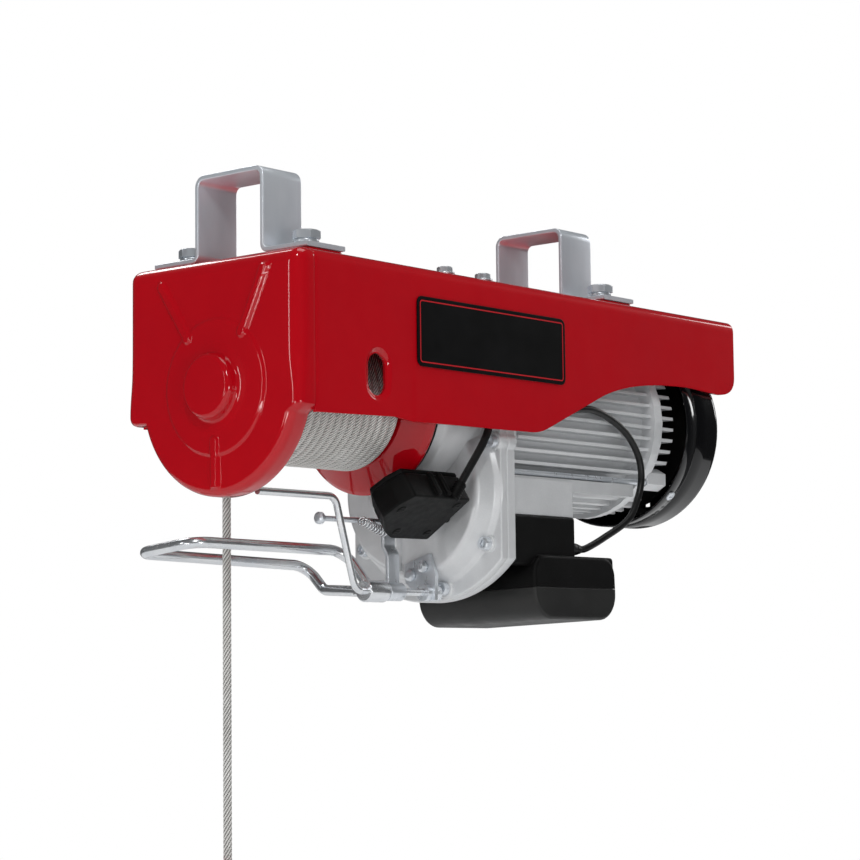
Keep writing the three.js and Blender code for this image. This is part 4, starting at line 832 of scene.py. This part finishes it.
makeClamp("clampDrumEnd", clamps["centres"][0], "beam_clamp_drum_end")
makeClamp("clampMotorEnd", clamps["centres"][1], "beam_clamp_motor_end")
makeClampBolts()
print("clamps made")
makeClampPads()


case = {
    "screws": [(-69, -112.5), (-62, -184), (-23, -214.5), (52, -184)], "screwCrown": 204.8, "screwDepth": 4.8,
    "screwRadius": 4.6, "ear": 7.0, "flange": (211.5, 218.5), "cover": (218.8, 227.8), "half": 69.0, "arc": 96.0,
    "arcZ": -127.8, "top": -3.5, "lugs": [(-72, -57), (47, 62)], "boltX": (162.5, 204.0), "boltY": (-66.0, 56.0),
    "discRadius": 56, "discCut": 9,
}


def caseOutline():
    # straight sides down to a wide arc below; the screw places swell out as round ears
    c = case
    half, radius, top, cy = c["half"], c["arc"], c["top"], drumAxis[0]
    drop = math.atan2(-math.sqrt(radius ** 2 - half ** 2), half)
    arc = np.linspace(drop, -math.pi - drop, 80)
    under = np.stack((cy + radius * np.cos(arc), c["arcZ"] + radius * np.sin(arc)), 1)
    over = [(cy - half, top - 4), (cy - half + 4, top), (cy + half - 4, top), (cy + half, top - 4)]
    loop = closeEvenly(np.vstack((under, over)), 2.0)
    for y, z in c["screws"]:
        away = loop - (y, z)
        distance = np.linalg.norm(away, axis=1, keepdims=True)
        loop = np.where(distance < c["ear"], (y, z) + away / distance * c["ear"], loop)
    return loop


def makeGearCase():
    c = case
    low = (drumAxis[0], hoist["caseZ"])
    can = roundCorners([(157.2, 14), (157.2, 44), (171, 57.5), (209, 57.5), (209, 14)], [1, 5, 6, 1, 1], 7,
                       closed=True)
    pan = roundCorners([(195, 0), (195, 60.5), (208.3, 65.6), (212.6, 70), (216, 70), (216, 0)],
                       [0, 5, 4, 1, 1, 0], 7)
    boss = roundCorners([(167, 0), (167, 15), (168, 19), (192.5, 19), (196, 23.5), (198, 23.5), (198, 0)],
                        [0, 3, 2.5, 3.5, 1, 1, 0], 6)
    shells = [(latheGrid(can, drumAxis, 128), True, True), latheGrid(pan, low, 144), latheGrid(boss, low, 72)]
    # raised half disc on the far side of the pan's face
    reach = math.acos(c["discCut"] / c["discRadius"])
    a = np.linspace(-reach, reach, 70)
    half = np.stack((low[0] + c["discRadius"] * np.cos(a), low[1] + c["discRadius"] * np.sin(a)), 1)
    shells += [plateGrid(closeEvenly(half, 1.5), 188, 197, 3.0, alongAxes),
               plateGrid(caseOutline(), *c["flange"], 1.1, alongAxes)]
    shells += [plateGrid(roundedRectangle(left, -52, right, -2.8, 3), 155, 213, 2.0, alongAxes)
               for left, right in c["lugs"]]
    seat = roundCorners([(209.6, 0), (209.6, 6.5), (214, 6.8), (214, 0)], [0, 1.2, 0.5, 0], 5)
    shells += [latheGrid(seat, spot, 40) for spot in c["screws"]]
    makePiece("gearCase", shells, "castAluminium", "frame", ["gear_case"], sharp=40)
    ear = roundCorners([(219, 0), (219, 7.0), (228.0, 7.0), (228.0, 0)], [0, 1.0, 1.0, 0], 5)
    cover = [plateGrid(caseOutline(), *c["cover"], 1.1, alongAxes)] + [latheGrid(ear, at, 40) for at in c["screws"]]
    makePiece("gearCaseCover", cover, "castAluminium", "frame", ["gear_case_cover"], sharp=40)


def makeCaseScrews():
    # turned heads looking towards -X, each with a round-edged crown and a hexagonal socket
    face, depth, radius = case["screwCrown"], case["screwDepth"], case["screwRadius"]
    a = np.linspace(0, 2 * np.pi, 48, endpoint=False)
    hexagon = radius * 0.5 / np.cos(a % (np.pi / 3) - np.pi / 6)
    rings = [(face + depth * 0.55, hexagon * 0.05), (face + depth * 0.5, hexagon * 0.9), (face + 0.25, hexagon),
             (face, hexagon * 1.08), (face, 0 * a + radius * 0.86), (face + 0.25, 0 * a + radius * 0.97),
             (face + 0.7, 0 * a + radius), (face + depth, 0 * a + radius)]
    for number, (y, z) in enumerate(case["screws"], 1):
        grid = np.stack([np.stack((0 * a + x, y + r * np.cos(a), z + r * np.sin(a)), 1) for x, r in rings])
        makePiece("gearCaseScrew%d" % number, [capped(grid)], "zinc", "frame", ["gear_case_screw_%d" % number],
                  sharp=40)
    for number, at in enumerate([(x, y, 0) for x in case["boltX"] for y in case["boltY"]], 1):
        makePiece("gearCaseBolt%d" % number, [discGrid(at, 0.3, 1.7, 7.0, 0.4, 48), hexGrid(at, 1.7, 5.6, 9.7)],
                  "zinc", "frame", ["gear_case_bolt_%d" % number])


makeGearCase()
makeCaseScrews()
print("gear case made")


fanCover = {"open": 434.0, "radius": 75.0, "taper": 475.0, "end": 486.0, "endRadius": 66.0, "opening": 12.0,
            "sheet": 1.6, "slots": 12, "slotWidth": 4.5, "slotFrom": 20.0, "slotTo": 58.0, "backFrom": 61.0,
            "grooveX": (438, 446, 446.5, 448.0, 448.5, 460), "screwX": 440, "screws": (225, 315)}


def makeFanCover():
    # (x, r) profile turned about the motor axis; on the back the angle lines follow the slots' edges:
    # half angle asin(w / 2 r) either side of each slot
    f = fanCover
    profile = roundCorners([(f["open"], f["radius"]), (f["taper"], f["radius"]), (f["end"], f["endRadius"]),
                            (f["end"], f["opening"])], [0, 9, 4.5, 0], 10)
    back = np.column_stack((np.full(26, f["end"]), np.linspace(f["backFrom"], f["opening"], 26)))
    side = profile[profile[:, 1] > f["backFrom"] + 0.01]
    side = np.vstack(([side[0]], [(x, f["radius"]) for x in f["grooveX"]], side[1:]))
    side[3:5, 1] -= 0.5
    line = np.vstack((side, back))
    r = line[:, 1:]
    perSlot, span = 7, 2 * np.pi / f["slots"]
    half = np.arcsin(np.clip(f["slotWidth"] / 2 / r, 0, 0.2))
    share = np.linspace(0, 1, perSlot)[None, :-1]
    within = np.concatenate((-half, half + (span - 2 * half) * share), axis=1)
    angle = (within[:, None, :] + (np.arange(f["slots"]) * span)[None, :, None]).reshape(len(r), -1)
    grid = np.stack((line[:, :1] + 0 * angle, drumAxis[0] + r * np.cos(angle), drumAxis[1] + r * np.sin(angle)), 2)
    inSlot = (line[:-1, 0] > f["end"] - 0.1) & (line[:-1, 1] < f["slotTo"]) & (line[1:, 1] > f["slotFrom"])
    keep = ~(inSlot[:, None] & (np.arange(angle.shape[1]) % perSlot == 0)[None])
    piece = makePiece("fanCover", [(grid, False, True, keep)], "glossBlack", "frame", ["fan_cover"], sharp=60,
                      outward=(1, 0, 0))
    thicken(piece, f["sheet"], 0.4)


def makeCoverScrews():
    # pan heads on the rim, with a cross recess pressed into the crown
    a = np.linspace(0, 2 * np.pi, 48, endpoint=False)
    rho = np.concatenate((np.linspace(0, 3.0, 11), [3.5, 3.85, 4.0, 4.0]))[:, None]
    crown = 2.0 - 0.9 * (rho / 4.0) ** 2.6
    crown[-1] = 0.0
    px, py = rho * np.cos(a), rho * np.sin(a)
    inside = np.clip((0.55 - np.minimum(abs(px), abs(py))) / 0.25, 0, 1) * np.clip((2.3 - rho) / 0.4, 0, 1)
    height = crown - 0.8 * inside
    for number, degrees in enumerate(fanCover["screws"], 1):
        w = math.radians(degrees)
        out = np.array([0, math.cos(w), math.sin(w)])
        base = np.array([fanCover["screwX"], *drumAxis]) + out * (fanCover["radius"] + 0.05)
        grid = base + px[..., None] * (1.0, 0, 0) + py[..., None] * np.cross(out, (1.0, 0, 0)) + height[..., None] * out
        grid = np.concatenate((grid, grid[-1:].mean(1, keepdims=True) + 0 * grid[-1:]))
        makePiece("fanCoverScrew%d" % number, [grid], "zinc", "frame", ["fan_cover_screw_%d" % number], sharp=50)


makeFanCover()
makeCoverScrews()
print("fan cover made")


capBox = {"x": 300.0, "z": -213.5, "width": 97.0, "height": 46.0, "front": -72.0, "back": 38.0, "tilt": -2.0,
          "upperCorner": 14.0, "lowerCorner": 20.0, "gap": 0.15, "bootY": -61, "bootZ": -184.8}


def tiltBox(grid):
    # turns a grid by the box's tilt about the line y = front, z = middle
    w = math.radians(capBox["tilt"])
    y, z = grid[..., 1] - capBox["front"], grid[..., 2] - capBox["z"]
    return np.stack((grid[..., 0], capBox["front"] + y * math.cos(w) - z * math.sin(w),
                     capBox["z"] + y * math.sin(w) + z * math.cos(w)), axis=-1)


def boxShell(sign, corner):
    # half of the box section with its own corner radius, carried from front to back
    b = capBox
    left, right = b["x"] - b["width"] / 2, b["x"] + b["width"] / 2
    edge, far = b["z"] + sign * b["gap"], b["z"] + sign * b["height"] / 2
    loop = roundCorners([(left, edge), (left, far), (right, far), (right, edge)], [0, corner, corner, 0], 14,
                        closed=True, share=0.9)
    loop = closeEvenly(loop, 1.6)
    parting = np.abs(loop[:, 1] - edge) < 0.2

    def hold(ring):
        # the parting face keeps its level while the outer edges are rounded
        return np.column_stack((ring[:, 0], np.where(parting, edge, ring[:, 1])))

    return tiltBox(plateGrid(loop, b["front"], b["back"], 2.4, steps=5, hold=hold))


def makeCapacitorBox():
    b = capBox
    ledge = plateGrid(roundedRectangle(258, -206, 347, -190.5, 2.5), -71.5, -46, 1.6)
    neck = plateGrid(roundedRectangle(230, -198, 306, -162.3, 2.0), -67, 28, 1.8)
    makePiece("capacitorBoxUpper", [boxShell(1, b["upperCorner"]), tiltBox(ledge), neck], "blackPlastic", "frame",
              ["capacitor_box_upper"], sharp=40)
    # the lower shell's lighter grey is partly painted sheen
    makePiece("capacitorBoxLower", [boxShell(-1, b["lowerCorner"])], "greyBlackPlasticPaintedSheen", "frame",
              ["capacitor_box_lower"], sharp=40)
    boot = roundCorners([(306.5, 0), (306.5, 5), (310.4, 4.7), (311, 4.2), (312.2, 4.2), (312.8, 4.4), (314, 4.2),
                         (318.3, 3.2), (318.3, 0)], [0, 0.6, 0.3, 0.3, 0.3, 0.3, 0.3, 0.5, 0], 4)
    makePiece("motorLeadBoot", [latheGrid(boot, (b["bootY"], b["bootZ"]), 40)], "blackRubber", "frame",
              ["motor_lead_boot"])


makeCapacitorBox()
print("capacitor box made")


levers = {"y": -22.0, "z": -217.5, "rod": 2.5, "loop": 3.75, "farY": 70, "armFrom": 126, "armTo": 144,
          "switchX": 155.0, "screwX": 160}


def makeLevers():
    g = levers
    y, z = g["y"], g["z"]
    feeler = roundCorners([(203.5, y, z), (116.5, y, z), (96.6, y, -154), (21.5, y, -154)], 9, 14)
    tubePiece("feelerRod", evenly(feeler, 1.5), g["rod"], "zincRod", "levers", ["feeler_rod"], 28)
    loop = roundCorners([(131, y + 8, z), (163, 50, -214), (166, g["farY"], -196), (1, g["farY"], -192),
                         (1, 15, -186.5), (146, 15, -188), (141, y + 8, z + 2)], 13, 14)
    rod = capped(sweep(evenly(loop, 1.8), circleOf(g["loop"], 28)))
    hub = roundCorners([(125, 0), (125, 7.6), (145, 7.6), (145, 0)], [0, 1.0, 1.0, 0], 4)
    arm = plateGrid(roundedRectangle(g["armFrom"], y, g["armTo"], y + 12, 2.5), z - 3, z + 3, 1.2, flatAxes)
    makePiece("loopLever", [rod, latheGrid(hub, (y, z), 64), arm], "zincRod", "levers", ["loop_lever"], sharp=40)
    sleeve = roundCorners([(147, 0), (147, 6.5), (163, 6.5), (163, 0)], [0, 0.9, 0.9, 0], 4)
    line = roundCorners([(-22, -213), (-22, -191.6), (-18.1, -186.6), (-18.1, -174)], [0, 6, 6, 0], 8)
    path = evenly(np.column_stack((np.full(len(line), g["switchX"]), line)), 1.0)
    bar = capped(sweep(path, stripSection(12, 3.0), (1, 0, 0)))
    pin = roundCorners([(-222, 0), (-222, 3), (-218, 3), (-218, 0)], [0, 0.5, 0, 0], 3)
    screw = latheGrid(pin, (g["screwX"], y - 3), 36, upright=True)
    makePiece("switchLever", [latheGrid(sleeve, (y, z), 56), bar, screw], "zinc", "levers", ["switch_lever"],
              sharp=40)


spring = {"start": (120, -24.4, -169.5), "end": (144, -24.4, -177), "radius": 2.8, "wire": 0.55, "turns": 9,
          "rows": 420}


def makeSpring():
    # coil c(t) = start + t (end - start) + r (cos, sin) of nine turns
    s = spring
    start = np.array(s["start"])
    along = np.array(s["end"]) - start
    unit = along / np.linalg.norm(along)
    e1 = np.cross((0, 1, 0), along)
    e1 /= np.linalg.norm(e1)
    e2 = np.cross(unit, e1)
    t = np.linspace(0, 1, s["rows"])[:, None]
    w = 2 * np.pi * s["turns"] * t
    path = start + along * t + s["radius"] * (np.cos(w) * e1 + np.sin(w) * e2)
    grid = capped(sweep(path, circleOf(s["wire"], 10), tuple(unit)))
    makePiece("leverSpring", [grid], "zincRod", "frame", ["lever_spring"], sharp=180)


anchor = {"place": (-17.2, -169), "from": 88, "to": 194.6, "plainFrom": 186, "radius": 1.9, "thread": 0.22,
          "pitch": 0.9, "rows": 400}


def makeAnchorScrew():
    # threaded shank r(x) = R - d (0.5 + 0.5 cos(2 pi x / pitch)) under a pan head
    s = anchor
    x = np.linspace(s["from"], s["to"], s["rows"])
    dip = s["thread"] * (0.5 + 0.5 * np.cos(2 * np.pi * x / s["pitch"])) * (x < s["plainFrom"])
    threaded = np.vstack(([(s["from"], 0)], np.column_stack((x, s["radius"] - dip)), [(s["to"], 0)]))
    head = roundCorners([(84, 0), (84, 2.2), (84.6, 3.6), (85.3, 4.2), (88, 4.2), (88, 0)],
                        [0, 0.4, 0.5, 0.5, 0.5, 0], 4)
    makePiece("springAnchorScrew", [latheGrid(threaded, s["place"], 20), latheGrid(head, s["place"], 48)],
              "zinc", "frame", ["spring_anchor_screw"], sharp=60)


makeLevers()
makeSpring()
makeAnchorScrew()
print("levers made")


switchShape = {"right": 180.0, "length": 48.0, "thickness": 24.0, "turn": 57.0, "rootY": -73.0, "rootZ": -155.3,
               "glandRoot": (163, -70.5, -155.0), "glandTip": (170.5, -71.5, -144.5), "postEnd": 194.7}


def switchPlace(grid):
    # turns local (x, depth, v) about X and moves it to the box's upper front edge
    b = switchShape
    w = math.radians(b["turn"])
    x, y, z = grid[..., 0], grid[..., 1], grid[..., 2]
    return np.stack((x, b["rootY"] + y * math.cos(w) - z * math.sin(w),
                     b["rootZ"] + y * math.sin(w) + z * math.cos(w)), axis=-1)


def makeSwitchBox():
    b = switchShape
    right, length, deep = b["right"], b["length"], b["thickness"]
    corners = [(right, 0), (right, -length), (right - 38, -length - 0.6), (right - 48, -length + 4.5),
               (right - 68.5, -25), (right - 66, -11), (right - 59, 0)]
    loop = closeEvenly(roundCorners(corners, 2.2, 6, closed=True), 1.2)
    # body, lid and the narrower joint between them
    shells = [plateGrid(loop, 0, deep - 4.2, 1.3), plateGrid(inset(loop, 0.6), deep - 4.0, deep, 1.3),
              plateGrid(inset(loop, 1.6), deep - 5, deep - 3, 0.2)]
    shells += [plateGrid(roundedRectangle(x - 2, -1.5, x + 2, 2.5, 1.2, 0.8), 2, 20, 1.2)
               for x in (right - 33, right - 23)]
    # slotted rivet heads on the front
    for x, v in ((right - 8, -8), (right - 8, -length + 8), (right - 58, -16), (right - 40, -length + 8)):
        shells += [plateGrid(circleOf(3.4, 32) + (x, v), -0.55, 1, 0.5),
                   plateGrid(roundedRectangle(x - 2.2, v - 0.4, x + 2.2, v + 0.4, 0.3, 0.4), -0.75, 0.2, 0.15)]
    shells = [switchPlace(g) for g in shells]
    # ribbed gland for the lead, and two mounting posts behind
    root, tip = np.array(b["glandRoot"]), np.array(b["glandTip"])
    line = root + (tip - root) * np.linspace(0, 1, 33)[:, None]
    ridges = 1 - 0.07 * (0.5 + 0.5 * np.cos(np.linspace(0, 12 * np.pi, 33)))
    shells.append(capped(sweep(line, circleOf(4.4, 32), (1, 0.1, -0.6), scale=ridges)))
    post = roundCorners([(right - 4, 0), (right - 4, 4), (b["postEnd"], 4), (b["postEnd"], 0)], [0, 0.3, 0.5, 0], 3)
    shells += [latheGrid(post, spot, 32) for spot in ((-50, -156), (-38, -165))]
    makePiece("limitSwitchBox", shells, "blackPlastic", "frame", ["limit_switch_box"], sharp=40)


makeSwitchBox()
print("switch box made")


hookShape = {
    "top": -434.3, "centre": -486.3, "wire": 5.6, "weight": 15.0,
    "bow": [(0, 44), (0, 36), (0, 30), (-10, 21), (-19, 8), (-21, -6), (-14, -20), (0, -26), (14, -21), (21, -8),
            (22, 6)],
    "taperAt": [0, 0.2, 0.55, 0.8, 0.97, 1], "taper": [1, 0.96, 1.0, 0.92, 0.74, 0.45],
    "cheek": [(-3.6, 1), (-1, 4.4), (4, 3), (10.6, -14), (7.4, -15.6), (-2, -4)],
    "web": [(4.6, -6), (7, -4.8), (10.6, -14), (7.4, -15.6)],
}


def makeHook():
    # stop weight with the rope's bore, hook with its shank and ear, and the spring latch on the ear's pin
    h = hookShape
    x, y, top, wide = rope["x"], rope["y"], h["top"], h["weight"]
    weight = roundCorners([(top + 0.3, 0), (top + 0.3, wide - 3), (top + 3.3, wide), (-408, wide), (-400.2, 8),
                           (-400.2, 3.4), (-414.4, 3.4), (-414.4, 0)], [0, 1.5, 1.5, 3, 1.0, 0.4, 0, 0], 6)
    makePiece("stopWeight", [latheGrid(weight, (x, y), 64, upright=True)], "redPaint", "load", ["stop_weight"])
    shank = roundCorners([(top - 12, 0), (top - 12, 8), (top - 1, 8), (top - 1, 4), (top + 0.2, 4), (top + 0.2, 0)],
                         [0, 2.5, 1.2, 0.3, 0, 0], 6)
    path = smoothPath([(x + a, y, h["centre"] + b) for a, b in h["bow"]], 1.2)
    taper = np.interp(np.linspace(0, 1, len(path)), h["taperAt"], h["taper"])
    bar = capped(sweep(path, circleOf(h["wire"], 36) * (1.0, 0.94), (0, 1, 0), scale=taper))
    pivot = (x + 5, h["centre"] + 20)
    ear = plateGrid(roundedRectangle(x - 6, pivot[1] - 4, pivot[0] + 4, pivot[1] + 14, 2.5), y - 2, y + 2, 0.7)
    makePiece("hookBody", [latheGrid(shank, (x, y), 64, upright=True), bar, ear], "steel", "hook", ["hook"], sharp=40)
    cheek = closeEvenly(roundCorners(np.array(h["cheek"]) + pivot, 1.4, 5, closed=True), 0.7)
    web = closeEvenly(roundCorners(np.array(h["web"]) + pivot, 0.5, 4, closed=True), 0.6)
    shells = [plateGrid(cheek, a, b, 0.35, steps=3) for a, b in ((y - 3.7, y - 2.3), (y + 2.3, y + 3.7))]
    shells += [plateGrid(web, y - 3, y + 3, 0.2, steps=2),
               plateGrid(circleOf(1.3, 24) + pivot, y - 4.5, y + 4.5, 0.4, steps=3)]
    makePiece("hookLatch", shells, "zinc", "latch", ["hook_latch"], sharp=40)


makeHook()
print("hook made")


keptLooks = {
    "castAluminium": ["motor_housing", "motor_end_bell"],
    "zinc": ["lever_bracket", "lever_bracket_screw_1", "lever_bracket_screw_2", "motor_tie_rod_1",
             "motor_tie_rod_2"],
    "steel": ["drum_shaft", "drum_gear", "layshaft", "layshaft_gear", "rotor_shaft", "outboard_bearing"],
    "coreSteel": ["stator", "rotor_core"],
    "copper": ["brake_magnet"],
    "capacitorCan": ["capacitor"],
    "blackPlastic": ["switch_plunger", "cooling_fan", "motor_terminal_block"],
}


def dressKept():
    # finishes for the nodes that keep the model's own mesh
    for look, names in keptLooks.items():
        for name in names:
            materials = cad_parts[name].data.materials
            materials.clear()
            materials.append(looks[look])


dressKept()
print("kept parts dressed")


studio = {
    "floorZ": -0.545, "floorRadius": 1.75,
    "seen": 1.0, "sky": 0.34, "mirrored": 0.05, "skyColour": (0.96, 0.98, 1, 1),
    "lamps": [
        # name, position, aim, size, power, size in the other direction
        ("frontSoft", (-1.9, -1.6, 1.5), (0, 0, -0.1), 0.36, 17, 0.55),
        ("leftSoft", (-2.4, 0.9, 0.2), (-0.1, 0, -0.1), 0.22, 4, 0.8),
        ("topSoft", (0.3, -0.4, 2.4), (0, 0, -0.1), 1.6, 20, 1.6),
        ("lowSoft", (-0.9, -2.0, -0.35), (0.1, 0, -0.12), 0.5, 5.0, 0.3),
        ("rightSoft", (2.6, -0.5, 0.9), (0.1, 0, -0.1), 0.6, 9, 1.1),
        ("backSoft", (0.5, 1.9, 1.9), (0, 0, -0.1), 0.8, 14, 0.8),
        ("lowLeftSoft", (-2.0, -0.2, -0.42), (-0.2, 0, -0.1), 0.5, 3.0, 0.16),
    ],
}


def makeFloor():
    a = np.linspace(0, 2 * np.pi, 96, endpoint=False)
    rings = np.stack([np.column_stack((r * np.cos(a), r * np.sin(a), np.full(96, studio["floorZ"])))
                      for r in (0.0, 0.5, 1.0, studio["floorRadius"])])
    mesh = bpy.data.meshes.new("floor")
    mesh.from_pydata(rings.reshape(-1, 3).tolist(), [], shellFaces(rings, False, True, 0)[0].tolist())
    floor = bpy.data.objects.new("floor", mesh)
    bpy.context.scene.collection.objects.link(floor)
    material, _, shader = newFinish("paleFloor")
    shader.inputs["Base Color"].default_value = (0.93, 0.93, 0.93, 1)
    shader.inputs["Roughness"].default_value = 0.7
    mesh.materials.append(material)


def makeLamps():
    for name, position, aim, size, power, other in studio["lamps"]:
        lamp = bpy.data.lights.new(name, "AREA")
        lamp.shape = "RECTANGLE"
        lamp.size, lamp.size_y, lamp.energy = size, other, power
        holder = bpy.data.objects.new(name, lamp)
        holder.location = position
        holder.rotation_euler = (Vector(aim) - Vector(position)).to_track_quat("-Z", "Y").to_euler()
        bpy.context.scene.collection.objects.link(holder)


def makeSky():
    # white where it is seen, dim in mirrors so the paint stays deep, and a soft fill for everything else
    world = bpy.data.worlds.new("sky")
    world.use_nodes = True
    bpy.context.scene.world = world
    tree = world.node_tree
    tree.nodes.clear()
    ray = addNode(tree, "ShaderNodeLightPath")
    light = None
    for strength, colour, kind in (("sky", studio["skyColour"], None),
                                   ("mirrored", studio["skyColour"], "Is Glossy Ray"),
                                   ("seen", (1, 1, 1, 1), "Is Camera Ray")):
        background = addNode(tree, "ShaderNodeBackground")
        background.inputs["Color"].default_value = colour
        background.inputs["Strength"].default_value = studio[strength]
        if kind is None:
            light = background.outputs[0]
            continue
        mix = addNode(tree, "ShaderNodeMixShader")
        tree.links.new(ray.outputs[kind], mix.inputs["Fac"])
        tree.links.new(light, mix.inputs[1])
        tree.links.new(background.outputs[0], mix.inputs[2])
        light = mix.outputs[0]
    tree.links.new(light, addNode(tree, "ShaderNodeOutputWorld").inputs["Surface"])
    bpy.context.scene.view_settings.view_transform = "Standard"
    bpy.context.scene.view_settings.look = "None"


makeFloor()
makeLamps()
makeSky()
print("studio set")

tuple(ropePath[0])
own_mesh(hangingRope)
